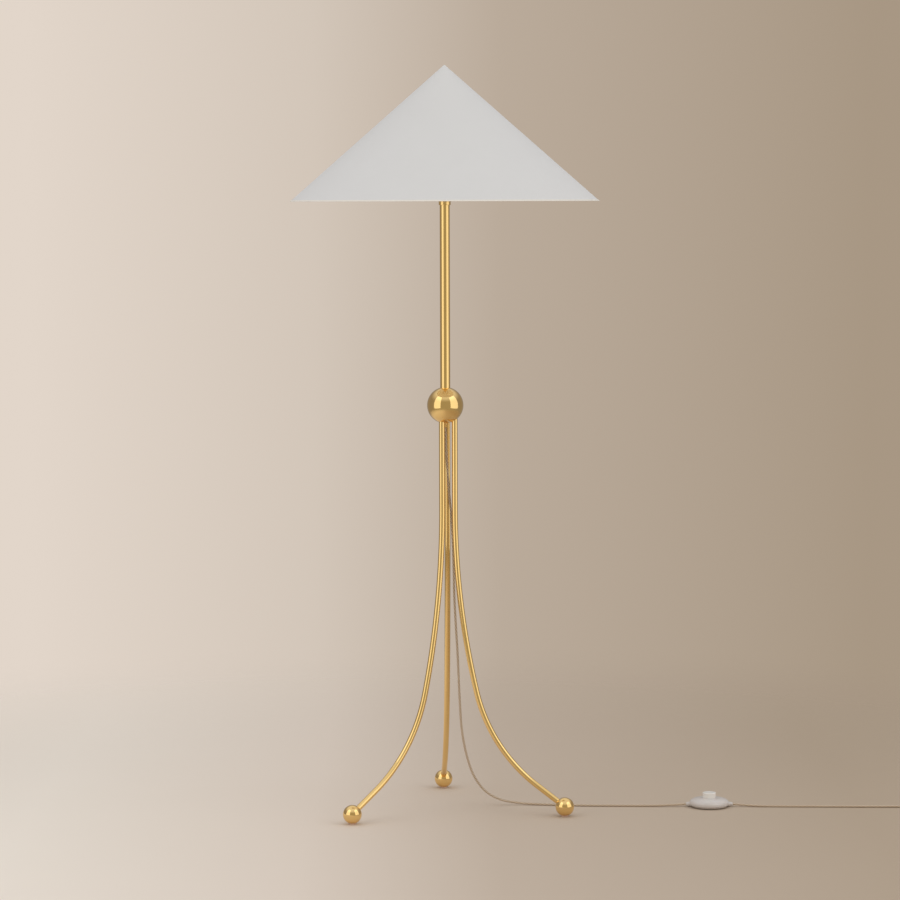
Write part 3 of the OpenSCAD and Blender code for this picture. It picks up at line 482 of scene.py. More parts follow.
def ceramicFinish():
    f = Finish("ceramic")
    speck = f.noise(700.0, 3, 0.7)
    pool = f.noise(60.0, 3, 0.5)
    return f.surface({
        "Base Color": f.blend(speck * 0.4, rgb(0.86, 0.84, 0.79), rgb(0.74, 0.71, 0.65)),
        "Roughness": f.between(pool, 0.15, 0.3), "Coat Weight": 0.4,
        "Normal": f.bump(pool, 0.00005, 0.4)})


poleBrass = brassFinish("poleBrass", (1600, 1600, 14))
ballBrass = brassFinish("ballBrass", (18, 18, 1400))
legBrass = brassFinish("legBrass", (60, 14, 1), "UV")
wireBrass = brassFinish("wireBrass", (260, 260, 260))
plainBrass = metalFinish("plainBrass", rgb(0.80, 0.58, 0.28), rgb(0.62, 0.42, 0.18),
                         0.25, 0.42, (60, 60, 900))
zincSteel = metalFinish("zincSteel", rgb(0.66, 0.67, 0.69), rgb(0.50, 0.51, 0.53),
                        0.28, 0.45, (70, 70, 900))
nickel = metalFinish("nickel", rgb(0.76, 0.75, 0.73), rgb(0.64, 0.63, 0.61),
                     0.16, 0.3, (60, 900, 60))
milky = mouldedFinish("milkyPlastic", rgb(0.71, 0.67, 0.66), rgb(0.63, 0.59, 0.58),
                      0.2, 0.34, 900.0, 0.00002, 0.35, 0.3)
buttonWhite = mouldedFinish("buttonPlastic", rgb(0.90, 0.89, 0.87), rgb(0.84, 0.82, 0.80),
                            0.16, 0.28, 900.0, 0.00002, 0.3, 0.3)
padPink = mouldedFinish("padPlastic", rgb(0.74, 0.56, 0.48), rgb(0.66, 0.47, 0.40),
                        0.35, 0.5, 1200.0, 0.00002, 0.5)
darkPlastic = mouldedFinish("darkPlastic", rgb(0.045, 0.038, 0.032), rgb(0.03, 0.025, 0.02),
                            0.4, 0.6, 1500.0, 0.00004)
darkRubber = mouldedFinish("darkRubber", rgb(0.028, 0.028, 0.028), rgb(0.018, 0.018, 0.018),
                           0.65, 0.85, 1800.0, 0.00005)
phosphor = mouldedFinish("phosphor", rgb(0.86, 0.62, 0.18), rgb(0.78, 0.52, 0.12),
                         0.4, 0.6, 1500.0, 0.00003)
cloth, lining, tape = clothFinish(), liningFinish(), tapeFinish()
opal, sheath, ceramic = opalFinish(), sheathFinish(), ceramicFinish()
print("finishes made")


cords = {
    "diameter": 0.005,
    "switchPlace": (0.571, 0.024),
    "coilCentre": (1.060, 0.0405),
    "coilWide": 0.0325,      # radius of the outer turns
    "coilNarrow": 0.0225,    # radius of the inner turns
    "layerLow": 0.0031,
    "layerHigh": 0.0081,
    "leadRoute": [
        (0, 0, 0.853), (0, 0, 0.8295), (0.002, 0.0005, 0.780), (0.006, 0.002, 0.710),
        (0.012, 0.004, 0.640), (0.0155, 0.005, 0.580), (0.0172, 0.006, 0.520),
        (0.0185, 0.008, 0.460), (0.0215, 0.009, 0.400), (0.025, 0.011, 0.340),
        (0.0275, 0.014, 0.280), (0.030, 0.017, 0.225), (0.034, 0.021, 0.170),
        (0.044, 0.027, 0.115), (0.060, 0.033, 0.068), (0.085, 0.041, 0.033),
        (0.118, 0.048, 0.013), (0.160, 0.049, 0.0048), (0.205, 0.044, 0.0029),
        (0.250, 0.037, 0.0026), (0.300, 0.031, 0.0026), (0.350, 0.028, 0.0026),
        (0.400, 0.026, 0.0026), (0.445, 0.0245, 0.0029), (0.485, 0.024, 0.0042),
        (0.520, 0.024, 0.006), (0.532, 0.024, 0.006)],
    "mainsRoute": [
        (0.610, 0.024, 0.006), (0.622, 0.024, 0.006), (0.648, 0.022, 0.0042),
        (0.680, 0.0185, 0.0028), (0.720, 0.0162, 0.0026), (0.760, 0.0148, 0.0026),
        (0.800, 0.0134, 0.0026), (0.860, 0.0112, 0.0026), (0.920, 0.0093, 0.0027),
        (0.980, 0.008, 0.0029), (1.042, 0.008, 0.0031)],
    "plugTail": [(1.0925, 0.049, 0.0078), (1.0925, 0.0565, 0.0068), (1.0925, 0.069, 0.0068)],
}


def coilLine():
    # four and a quarter turns: the radius shrinks evenly for two turns and grows for two,
    # and the height changes once, by a smooth step, at the inner turn
    turns = np.linspace(0, 4.25, 205)
    narrowing = np.clip(np.abs(turns - 2), 0, 2) / 2
    r = cords["coilNarrow"] + (cords["coilWide"] - cords["coilNarrow"]) * narrowing
    step = np.clip((turns - 1.9) / 0.3, 0, 1)
    step = step * step * (3 - 2 * step)
    z = cords["layerLow"] + (cords["layerHigh"] - cords["layerLow"]) * step
    angle = -math.pi / 2 + 2 * math.pi * turns
    x = cords["coilCentre"][0] + r * np.cos(angle)
    y = cords["coilCentre"][1] + r * np.sin(angle)
    return np.stack([x, y, z], 1)


leadLine = smoothLine(cords["leadRoute"], 8)
mainsLine = smoothLine(np.vstack([cords["mainsRoute"], coilLine(), cords["plugTail"]]), 2)
cordRadius = cords["diameter"] / 2
leadCord = place(swept("leadCord", leadLine, cordRadius, 16, (0, 1, 0)), sheath, "root",
                 "cord_sheath", "cord_to_switch")
mainsCord = place(swept("mainsCord", mainsLine, cordRadius, 16, (0, 0, 1)), sheath, "root",
                  "cord_sheath", "cord_to_coil", "cord_coil")
print("cords made", round(lineLength(leadLine), 3), round(lineLength(mainsLine), 3))


low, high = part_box("shade_cover")
shade = {
    "rimZ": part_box("rim_trim")[0].z,
    "tipZ": high.z,
    "radius": 0.330,
    "coverThick": 0.0012,
    "bond": 0.0001,
    "liningThick": 0.0008,
    "edgeLift": 0.0006,     # the sheets' lower edge above the rim
    "seamAngle": math.pi / 2,
    "seamWidth": 0.012,
    "seamRise": 0.00035,
    "rows": 48,
}
shadeHeight = shade["tipZ"] - shade["rimZ"]
shadeSlant = math.hypot(shade["radius"], shadeHeight)


def coneRadius(z, depth):
    # radius of the cone at a height, for a skin that lies depth inside the outer one
    return shade["radius"] * (1 - (z - shade["rimZ"]) / shadeHeight) - depth * shadeSlant / shadeHeight


def coneTip(depth):
    return shade["tipZ"] - depth * shadeSlant / shade["radius"]


def seamAngles(columns=256):
    # even angles from the seam round to the seam, with closer ones beside it
    near = np.array([-0.030, -0.0215, -0.0195, -0.0175, -0.010, 0, 0.010, 0.0175, 0.0195, 0.0215, 0.030])
    even = np.linspace(0, 2 * math.pi, columns, endpoint=False)[2:-1]
    return shade["seamAngle"] + np.unique(np.concatenate([near, even]))


def seamSwell(t, z, r):
    # the lapped joint stands proud over its width, on the outer skin only
    off = np.abs((t - shade["seamAngle"] + math.pi) % (2 * math.pi) - math.pi) * np.maximum(r, 1e-6)
    raised = np.clip((shade["seamWidth"] / 2 + 0.0004 - off) / 0.0008, 0, 1)
    outer = np.clip((r - coneRadius(z, 0.0004)) / 0.0003, 0, 1)
    fade = np.clip((r - 0.01) / 0.02, 0, 1)
    return shade["seamRise"] * raised * outer * fade


def flatCut(angle, far, rad):
    # a cone unrolls to a sector, so the cloth's threads run straight across this map
    s = rad * shadeSlant / shade["radius"]
    phi = (angle - shade["seamAngle"]) * shade["radius"] / shadeSlant
    return s * np.cos(phi), s * np.sin(phi)


def skinProfile(depthOut, depthIn, tipSoft):
    # from the inner tip down the inside, round the edge, and up the outside to the outer tip
    lowZ = shade["rimZ"] + shade["edgeLift"]
    # close rows by the lower edge keep its turn out of the smooth shading
    share = np.append([0, 0.0012], np.linspace(0.004, 1, shade["rows"]) ** 0.8)
    inTip, outTip = coneTip(depthIn), coneTip(depthOut)
    inZ = inTip + (lowZ - inTip) * (1 - share[::-1])
    outZ = lowZ + (outTip - tipSoft - lowZ) * share
    inside = np.stack([np.maximum(coneRadius(inZ, depthIn), 0), inZ], 1)
    outside = np.stack([coneRadius(outZ, depthOut), outZ], 1)
    inside[0] = (0, inTip)
    cap = outside[-1, 0]
    crown = [(cap * 0.72, outTip - tipSoft * 0.80), (cap * 0.38, outTip - tipSoft * 0.62),
             (0, outTip - tipSoft * 0.55)]
    return np.vstack([inside, outside, crown])


liningDepth = shade["coverThick"] + shade["bond"]
insideDepth = liningDepth + shade["liningThick"]
place(turned("shadeCover", skinProfile(0, shade["coverThick"], 0.0016), angles=seamAngles(),
             swell=seamSwell, uvRule=flatCut), cloth, "shade", "shade_cloth", "shade_cover")
place(turned("shadeLining", skinProfile(liningDepth, insideDepth, 0.0008), 256,
             uvRule=flatCut), lining, "shade", "shade_lining", "shade_lining")

trim = {"height": 0.0032, "thick": 0.0006, "bond": 0.0001, "inside": 0.001}


def trimProfile():
    # an outside lip, a strip under the edge, and its turned-in end
    rim, top = shade["rimZ"], shade["rimZ"] + trim["height"]
    edge = rim + shade["edgeLift"] - trim["bond"]
    inner = insideDepth + trim["inside"]
    return softened([
        (coneRadius(edge, inner), edge), (coneRadius(rim, inner), rim),
        (coneRadius(rim, -trim["thick"]), rim), (coneRadius(top, -trim["thick"]), top),
        (coneRadius(top, -trim["bond"]), top), (coneRadius(edge, -trim["bond"]), edge)],
        0.00025, 3)


place(turned("rimTrim", trimProfile(), closed=True, columns=256), tape, "shade", "rim_tape",
      "rim_trim")

ring = {"radius": 0.0015, "rise": 0.0036}
wireZ = shade["rimZ"] + ring["rise"]
wireR = coneRadius(wireZ, insideDepth + 0.0001 + ring["radius"])
spin = np.linspace(0, 2 * math.pi, 20, endpoint=False)
place(turned("rimWire", np.stack([wireR + ring["radius"] * np.cos(spin),
                                  wireZ + ring["radius"] * np.sin(spin)], 1),
             closed=True, columns=220), zincSteel, "shade", "zinc_steel", "rim_wire")
print("shade made")


low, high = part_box("pole_tube")
pole = {"radius": high.x, "low": low.z, "high": high.z}
place(turned("poleTube", softened([
    (0, pole["low"]), (pole["radius"], pole["low"]), (pole["radius"], pole["high"]),
    (0, pole["high"])], 0.0006, 4, closed=False), 96), poleBrass, "root", "polished_brass",
    "pole_tube")

low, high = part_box("pole_collar")
collar = {"radius": high.x, "low": low.z, "high": high.z, "bore": pole["radius"] + 0.00005,
          "seat": 0.0055}
place(turned("poleCollar", softened([
    (0, collar["low"] + collar["seat"]), (collar["bore"], collar["low"] + collar["seat"]),
    (collar["bore"], collar["low"]), (collar["radius"], collar["low"]),
    (collar["radius"], collar["high"]), (0, collar["high"])], 0.0016, 6, closed=False), 96),
    ballBrass, "root", "polished_brass", "pole_collar")

low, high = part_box("hub_ball")
hub = {"radius": high.x, "centre": low.z + high.x - 0.001, "flat": low.z}


def ballProfile(r, centre, flatZ, lip=0.0006, steps=72):
    # an arc from the flat underneath up to the top, with a small soft edge at the flat
    start = math.asin((flatZ - centre) / r)
    a = np.linspace(start + lip / r, math.pi / 2, steps)
    arc = np.stack([r * np.cos(a), centre + r * np.sin(a)], 1)
    flatR = r * math.cos(start)
    edge = [(0, flatZ), (flatR - 2 * lip, flatZ), (flatR - lip, flatZ),
            (flatR - 0.35 * lip, flatZ + 0.12 * lip)]
    arc[-1, 0] = 0
    return np.vstack([edge, arc])


place(turned("hubBall", ballProfile(hub["radius"], hub["centre"], hub["flat"]), 128),
      ballBrass, "root", "polished_brass", "hub_ball")

low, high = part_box("hub_bushing")
bushing = {"tip": low.z, "flat": hub["flat"], "tipRadius": 0.0034, "rootRadius": 0.0043,
           "flange": 0.0015, "flangeRadius": high.x}


def bushingProfile():
    # a short tapered tail with two shallow rings, then a flange against the ball
    z = np.linspace(bushing["tip"], bushing["flat"] - bushing["flange"], 60)
    share = (z - z[0]) / (z[-1] - z[0])
    r = bushing["tipRadius"] + (bushing["rootRadius"] - bushing["tipRadius"]) * share
    r = r - 0.0002 * (np.sin(share * 6 * math.pi) > 0.2) * (share > 0.1) * (share < 0.9)
    tail = np.stack([r, z], 1)
    top = [(bushing["flangeRadius"] - 0.0003, bushing["flat"] - bushing["flange"]),
           (bushing["flangeRadius"], bushing["flat"] - bushing["flange"] + 0.0003),
           (bushing["flangeRadius"], bushing["flat"]), (0, bushing["flat"])]
    return np.vstack([[(0, bushing["tip"])], tail, top])


place(turned("hubBushing", bushingProfile(), 48), ballBrass, "root", "polished_brass",
      "hub_bushing")
print("pole and hub made")


legs = {
    "radius": 0.00625,
    "offset": 0.005,         # middle of the three legs, to the right of the pole's axis
    "socketCircle": 0.016,
    "top": hub["flat"] + 0.025,
    "bend": 0.655,
    "leanUpper": math.radians(13.9),
    "leanLower": math.radians(55.5),
    "tail": 0.075,
    "footCircle": 0.262,
    "footZ": 0.0211,
    "ballRadius": 0.020,
    "seat": 0.010,
    "azimuths": {"left": 219, "right": 341.5, "back": 92.5},
}
pad = {"radius": 0.0083, "thick": 0.003}


def legLine():
    # straight down, then a wide arc, a tight arc and a straight end; the arcs' radii are the
    # pair that brings the end to the foot circle
    a, b = legs["leanUpper"], legs["leanLower"]
    outRun = legs["footCircle"] - legs["tail"] * math.sin(b) - legs["socketCircle"]
    tailZ = legs["footZ"] + legs["tail"] * math.cos(b)
    drop = legs["bend"] - tailZ
    wide, tight = np.linalg.solve(
        [[1 - math.cos(a), math.cos(a) - math.cos(b)], [math.sin(a), math.sin(b) - math.sin(a)]],
        [outRun, drop])
    straight = np.linspace(legs["top"], legs["bend"], 24)[:-1]
    top = np.stack([np.full(23, legs["socketCircle"]), straight], 1)
    s = np.linspace(0, a, 40)[:-1]
    upper = np.stack([legs["socketCircle"] + wide * (1 - np.cos(s)),
                      legs["bend"] - wide * np.sin(s)], 1)
    joint = (legs["socketCircle"] + wide * (1 - math.cos(a)), legs["bend"] - wide * math.sin(a))
    s = np.linspace(a, b, 60)[:-1]
    lower = np.stack([joint[0] + tight * (math.cos(a) - np.cos(s)),
                      joint[1] - tight * (np.sin(s) - math.sin(a))], 1)
    run = np.linspace(legs["tail"], legs["seat"], 6)
    end = np.stack([legs["footCircle"] - run * math.sin(b), legs["footZ"] + run * math.cos(b)], 1)
    flat = np.vstack([top, upper, lower, end])
    return np.stack([flat[:, 0], np.zeros(len(flat)), flat[:, 1]], 1)


def turnedBy(points, degrees):
    # points turned about the pole's axis
    c, s = math.cos(math.radians(degrees)), math.sin(math.radians(degrees))
    return np.stack([points[:, 0] * c - points[:, 1] * s, points[:, 0] * s + points[:, 1] * c,
                     points[:, 2]], 1)


for side, degrees in legs["azimuths"].items():
    line = turnedBy(legLine(), degrees) + (legs["offset"], 0, 0)
    plane = turnedBy(np.array([[0.0, 1.0, 0.0]]), degrees)[0]
    path, radii = roundedEnds(line, legs["radius"], 0.1)
    place(swept(f"leg{side.title()}", path, radii, 40, plane), legBrass, "root",
          "polished_brass", f"leg_{side}")
    foot = turnedBy(np.array([[legs["footCircle"], 0.0, 0.0]]), degrees)[0] + (legs["offset"], 0, 0)
    place(turned(f"footBall{side.title()}", ballProfile(
        legs["ballRadius"], legs["footZ"], pad["thick"]), 96, foot), ballBrass, "root",
        "polished_brass", f"foot_ball_{side}")
    place(turned(f"footPad{side.title()}", softened([
        (0, 0), (pad["radius"], 0), (pad["radius"], pad["thick"]), (0, pad["thick"])],
        0.0008, 4, closed=False), 64, foot), padPink, "root", "pad_plastic", f"foot_pad_{side}")
print("legs and feet made")


switch = {
    "radius": 0.043, "footRadius": 0.038, "floor": 0.0015, "seam": 0.006, "band": 0.0095,
    "top": 0.020, "topRadius": 0.020, "wall": 0.002, "buttonRadius": 0.0145,
    "buttonTop": 0.032, "gap": 0.0003, "flange": 0.0157, "wellRadius": 0.0056,
    "wellTop": 0.0236, "seamGap": 0.00005,
}
switchPlace = (*cords["switchPlace"], 0)

inside, under = switch["radius"] - switch["wall"], switch["top"] - switch["wall"]
lip = switch["seam"] - switch["seamGap"]

baseShell = softened([
    (0, switch["floor"]), (switch["footRadius"], switch["floor"]),
    (switch["radius"], switch["seam"] - 0.00025), (switch["radius"] - 0.0006, lip), (inside, lip),
    (switch["footRadius"] - switch["wall"], switch["floor"] + switch["wall"]),
    (0, switch["floor"] + switch["wall"])], 0.0007, 4, closed=False)
switchBase = place(turned("switchBase", baseShell, 128, switchPlace), milky, "root",
                   "switch_plastic", "switch_base")



def shoulder(r, top):
    # a quarter of an ellipse from the band at radius r up to the flat top's edge
    t = np.linspace(0, math.pi / 2, 20)
    across, up = r - switch["topRadius"], top - switch["band"]
    return np.stack([switch["topRadius"] + across * np.cos(t), switch["band"] + up * np.sin(t)], 1)


hole = switch["buttonRadius"] + switch["gap"]
coverShell = softened(np.vstack([
    [(inside, switch["seam"]), (switch["radius"], switch["seam"])],
    shoulder(switch["radius"], switch["top"]), [(hole, switch["top"]), (hole, under)],
    shoulder(inside, under)[::-1]]), 0.0007, 3)
switchCover = place(turned("switchCover", coverShell, 128, switchPlace, closed=True), milky,
                    "root", "switch_plastic", "switch_cover")


def buttonProfile():
    # a cap with a soft edge, a shallow dish in its top, a flange that holds it in, and a
    # well under it for the spring
    r, top = switch["buttonRadius"], switch["buttonTop"]
    side = softened([
        (0, switch["wellTop"]), (switch["wellRadius"], switch["wellTop"]),
        (switch["wellRadius"], switch["flange"]), (r + 0.0015, switch["flange"]),
        (r + 0.0015, switch["flange"] + 0.002),
        (r, switch["flange"] + 0.002), (r, top), (r - 0.0035, top)], 0.0019, 7, closed=False)
    dish = np.linspace(r - 0.0035, 0, 16)
    depth = 0.0006 * (0.5 + 0.5 * np.cos(math.pi * dish / (r - 0.0035)))
    return np.vstack([side[:-1], np.stack([dish, top - depth], 1)])


switchButton = place(turned("switchButton", buttonProfile(), 96, switchPlace), buttonWhite,
                     "button", "button_plastic", "switch_button")
# tuck is how far a relief's root reaches into its housing
relief = {"length": 0.008, "tipRadius": 0.0036, "rootRadius": 0.0055, "ribs": 2, "tuck": 0.001}


def reliefPiece(name, start, heading, length, tipRadius, rootRadius, ribs):
    # a tapered sleeve, its radius cut by shallow rings
    share = np.linspace(0, 1, 110)
    r = rootRadius + (tipRadius - rootRadius) * share
    rings = 0.5 + 0.5 * np.cos(share * ribs * 2 * math.pi)
    r = r - 0.0007 * np.clip(rings * 2.2 - 1.4, 0, 1) * (share > 0.08) * (share < 0.95)
    r[-3:] = tipRadius * np.array([0.98, 0.93, 0.84])
    line = np.asarray(start, float) + np.outer(share * length, heading)
    return swept(name, line, r, 40, (0, 0, 1))


x, y = cords["switchPlace"]
reliefIn, reliefOut = [place(reliefPiece(
    name, (x + side * (switch["radius"] - relief["tuck"]), y, switch["seam"]), (side, 0, 0),
    relief["length"] + relief["tuck"], relief["tipRadius"], relief["rootRadius"],
    relief["ribs"]), milky, "root", "switch_plastic", node) for side, name, node in (
        (-1, "switchReliefIn", "switch_relief_in"), (1, "switchReliefOut", "switch_relief_out"))]
print("foot switch made")


low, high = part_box("plug_body")
plug = {"start": low.y, "end": high.y, "x": (low.x + high.x) / 2, "thick": high.z,
        "heel": 0.013, "wide": high.x - low.x, "pinGap": 0.0186, "pinRadius": 0.002,
        "pinRoot": 0.004, "reliefTip": 0.0034, "reliefRoot": 0.0049, "reliefRibs": 5}


def plugBody():
    # superellipse rings along the plug: half width and half height are functions of the
    # distance from the heel, with rounded ends and finger ribs on the narrow part
    s = np.concatenate([np.linspace(0, 0.06, 8), np.linspace(0.08, 0.92, 70), np.linspace(0.94, 1, 9)])
    grow = np.clip(s / 0.56, 0, 1)
    grow = grow * grow * (3 - 2 * grow)
    halfW = plug["heel"] / 2 + (plug["wide"] - plug["heel"]) / 2 * grow
    halfH = plug["thick"] / 2 * (0.86 + 0.14 * grow)
    ends = np.sqrt(np.clip(1 - np.clip((0.06 - s) / 0.06, 0, 1) ** 2, 0, 1)) * 0.25 + 0.75
    nose = np.sqrt(np.clip(1 - np.clip((s - 0.93) / 0.07, 0, 1) ** 2, 0, 1)) * 0.14 + 0.86
    ribs = 1 - 0.03 * (np.sin(s * 44 * math.pi / 1.6) > 0.3) * (s > 0.2) * (s < 0.5)
    halfW, halfH = halfW * ends * nose * ribs, halfH * ends * nose * ribs
    t = np.linspace(0, 2 * math.pi, 72, endpoint=False)
    cosT = np.sign(np.cos(t)) * np.abs(np.cos(t)) ** 0.55
    sinT = np.sign(np.sin(t)) * np.abs(np.sin(t)) ** 0.55
    y = plug["start"] + (plug["end"] - plug["start"]) * s
    # x runs against the ring's turn so that the faces point outwards
    points = np.stack([plug["x"] - halfW[:, None] * cosT, np.repeat(y[:, None], len(t), 1),
                       plug["thick"] / 2 + halfH[:, None] * sinT], -1).reshape(-1, 3)
    quads, row, col = gridFaces(len(s), len(t))
    n, k = len(points), np.arange(len(t))
    nextK, base = (k + 1) % len(t), (len(s) - 1) * len(t)
    points = np.vstack([points, [plug["x"], plug["start"], plug["thick"] / 2],
                        [plug["x"], plug["end"], plug["thick"] / 2]])
    lowFan = np.stack([np.full(len(t), n), nextK, k], 1)
    highFan = np.stack([np.full(len(t), n + 1), base + k, base + nextK], 1)
    return buildPiece("plugBody", points, quads.tolist() + lowFan.tolist() + highFan.tolist())


plugPiece = place(plugBody(), milky, "root", "switch_plastic", "plug_body")
start, end = plug["end"] - plug["pinRoot"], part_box("plug_pins")[1].y
# a straight pin whose end closes in a quarter round
spin = np.linspace(0.1, math.pi / 2, 10)
share = np.concatenate([np.linspace(0, 0.93, 20), 0.93 + 0.07 * np.sin(spin)])
r = plug["pinRadius"] * np.concatenate([np.ones(20), 0.55 + 0.45 * np.cos(spin)])
for side, name in ((-1, "plugPinLeft"), (1, "plugPinRight")):
    line = np.stack([0 * share + plug["x"] + side * plug["pinGap"] / 2,
                     start + (end - start) * share, 0 * share + plug["thick"] / 2], 1)
    place(swept(name, line, r, 32), nickel, "root", "nickel")
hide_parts("plug_pins")
low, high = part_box("plug_relief")
tuck = relief["tuck"]
plugRelief = place(reliefPiece(
    "plugRelief", (plug["x"], high.y + tuck, plug["thick"] / 2), (0, -1, 0), high.y - low.y + tuck,
    plug["reliefTip"], plug["reliefRoot"], plug["reliefRibs"]), milky, "root", "switch_plastic",
    "plug_relief")

tie = {"angle": math.radians(135), "width": 0.009, "thick": 0.0006, "inner": 0.0191,
       "outer": 0.0354, "low": 0.0003, "high": 0.0110}


def tiePiece():
    # a soft-cornered loop round the coil's section, swept by a flat strap section
    loop = softened([(tie["inner"], tie["low"]), (tie["outer"], tie["low"]),
                     (tie["outer"], tie["high"]), (tie["inner"], tie["high"])], 0.0018, 6)
    heading = np.roll(loop, -1, 0) - np.roll(loop, 1, 0)
    heading /= np.linalg.norm(heading, axis=1, keepdims=True)
    outward = np.stack([heading[:, 1], -heading[:, 0]], 1)
    section = softened([(-tie["width"] / 2, -tie["thick"] / 2), (tie["width"] / 2, -tie["thick"] / 2),
                        (tie["width"] / 2, tie["thick"] / 2), (-tie["width"] / 2, tie["thick"] / 2)],
                       0.0002, 3)
    side = section[None, :, 0] + 0 * loop[:, :1]
    radial = loop[:, :1] + outward[:, :1] * section[None, :, 1]
    z = loop[:, 1:] + outward[:, 1:] * section[None, :, 1]
    c, s = math.cos(tie["angle"]), math.sin(tie["angle"])
    points = np.stack([cords["coilCentre"][0] + radial * c - side * s,
                       cords["coilCentre"][1] + radial * s + side * c, z], -1).reshape(-1, 3)
    quads, _, _ = gridFaces(len(loop), len(section), True)
    return buildPiece("coilTie", points, quads.tolist())


tieMade = place(tiePiece(), darkPlastic, "root", "dark_plastic", "coil_tie")
print("plug and tie made")


low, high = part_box("bulb_glass")
bulb = {"glassLow": low.z, "glassTop": high.z, "radius": 0.030, "neck": 0.0128, "neckHeight": 0.006,
        "capRadius": 0.0131, "pitch": 0.0036, "thread": 0.0006}
glassCentre = bulb["glassTop"] - bulb["radius"]
spin = np.radians(np.linspace(-50, 90, 48))
outer = np.stack([bulb["radius"] * np.cos(spin), glassCentre + bulb["radius"] * np.sin(spin)], 1)
outer[-1, 0] = 0
glassProfile = np.vstack([[(0, bulb["glassLow"]), (bulb["neck"], bulb["glassLow"]),
                           (bulb["neck"], bulb["glassLow"] + bulb["neckHeight"])], outer])
place(turned("bulbGlass", glassProfile, 96), opal, "bulb", "opal_glass", "bulb_glass")


def threadSwell(depth, pitch, lowZ, highZ):
    # a rounded ridge that climbs one pitch in each turn and fades at both ends
    def swell(t, z, r):
        fade = np.clip((z - lowZ) / 0.003, 0, 1) * np.clip((highZ - z) / 0.003, 0, 1)
        return depth * fade * (0.5 + 0.5 * np.cos(2 * math.pi * z / pitch - t) - 1) * (r > 0.009)
    return swell


low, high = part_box("bulb_cap")
capRows = np.linspace(low.z, high.z, 90)
capProfile = np.vstack([[(0, low.z)], np.stack([np.full(90, bulb["capRadius"]), capRows], 1),
                        [(0, high.z)]])
place(turned("bulbCap", capProfile, 72, swell=threadSwell(
    bulb["thread"], bulb["pitch"], low.z, high.z)), nickel, "bulb", "nickel", "bulb_cap")

low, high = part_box("holder_shell")
holder = {"low": low.z, "high": high.z, "radius": high.x, "wall": 0.0015,
          "capRadius": 0.0125, "capBore": 0.0110}
bore = holder["radius"] - holder["wall"]
shellProfile = softened([
    (bore, holder["low"]), (holder["radius"], holder["low"]),
    (holder["radius"], holder["high"]), (bore, holder["high"])], 0.0005, 4)
place(turned("holderShell", shellProfile, 96, closed=True), ballBrass, "root",
      "polished_brass", "holder_shell")
low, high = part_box("holder_cap")
capShell = softened([
    (0, low.z), (holder["capRadius"], low.z), (holder["radius"], high.z - 0.0005),
    (bore, high.z), (holder["capBore"], low.z + holder["wall"]),
    (0, low.z + holder["wall"])], 0.0012, 5, closed=False)
place(turned("holderCap", capShell, 96), ballBrass, "root", "polished_brass", "holder_cap")

low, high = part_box("gallery_hub")
place(turned("galleryHub", softened([(0, low.z), (high.x, low.z), (high.x, high.z), (0, high.z)],
                                    0.0007, 4, closed=False), 96), wireBrass, "root",
      "polished_brass", "gallery_hub")
# flare is how much thicker the ends are; its run is a share of the length
rods = {"radius": 0.0025, "start": 0.0205, "lowZ": 0.0015, "flare": 0.25, "flareRun": 0.008,
        "end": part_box("gallery_ring")[1].x - 0.0093,
        "azimuths": {"left": 210, "right": 330, "back": 90}}
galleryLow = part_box("gallery_hub")[0].z + rods["lowZ"]
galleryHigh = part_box("gallery_ring")[0].z
for side, degrees in rods["azimuths"].items():
    # a straight rod that flares at both ends, where it is brazed
    share = np.concatenate([np.linspace(0, 0.04, 10), np.linspace(0.05, 0.95, 30),
                            np.linspace(0.96, 1, 10)])
    flare = np.exp(-share / rods["flareRun"]) + np.exp((share - 1) / rods["flareRun"])
    line = np.stack([rods["start"] + (rods["end"] - rods["start"]) * share, 0 * share,
                     galleryLow + (galleryHigh - galleryLow) * share], 1)
    place(swept(f"galleryArm{side.title()}", turnedBy(line, degrees),
                rods["radius"] * (1 + rods["flare"] * flare), 28,
                turnedBy(np.array([[0.0, 1.0, 0.0]]), degrees)[0]),
          wireBrass, "root", "polished_brass", f"gallery_arm_{side}")
print("bulb and holder made")


kept = {
    "shade_carrier": zincSteel, "tip_block": zincSteel, "gallery_ring": wireBrass,
    "gallery_pegs": wireBrass, "bulb_contact": nickel, "bulb_filament": phosphor,
    "holder_insulator": ceramic, "screw_shell": plainBrass, "centre_contact": plainBrass,
    "terminal_screws": zincSteel, "top_nipple": zincSteel, "pole_top_bush": zincSteel,
    "pole_bottom_bush": zincSteel, "hub_nipple": zincSteel, "inner_lead": sheath,
    "leg_top_studs": zincSteel, "leg_foot_studs": zincSteel, "switch_spring": zincSteel,
    "switch_block": ceramic, "switch_terminals": plainBrass, "switch_screws": zincSteel,
    "switch_pads": darkRubber,
}
for name, finish in kept.items():
    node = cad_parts[name]
    if not node.material_slots:
        node.data.materials.append(finish)
    for held in node.material_slots:
        held.material = finish
print("kept pieces finished")


studio = {
    "floorSize": 7.0,        # radius, metres
    "lookFrom": 7.0,         # about the camera's distance, metres
    "fadeStart": 0.9,
    "fadeEnd": 2.6,
    "floorGain": (1.29, 1.32, 1.38),
    # backdrop colours from the light side to the dark side, which the floor also takes as painted light
    # and shade: (how far across, colour)
    "across": [(0.1, rgb(0.76, 0.67, 0.59)), (0.37, rgb(0.65, 0.565, 0.485)),
               (0.55, rgb(0.49, 0.405, 0.325)), (0.9, rgb(0.39, 0.31, 0.23))],
    "spread": 0.32,          # width of that run, as a share of the distance
    "behind": rgb(0.41, 0.37, 0.28),
    "ahead": rgb(0.31, 0.28, 0.25),
    "above": rgb(0.82, 0.81, 0.80),
}


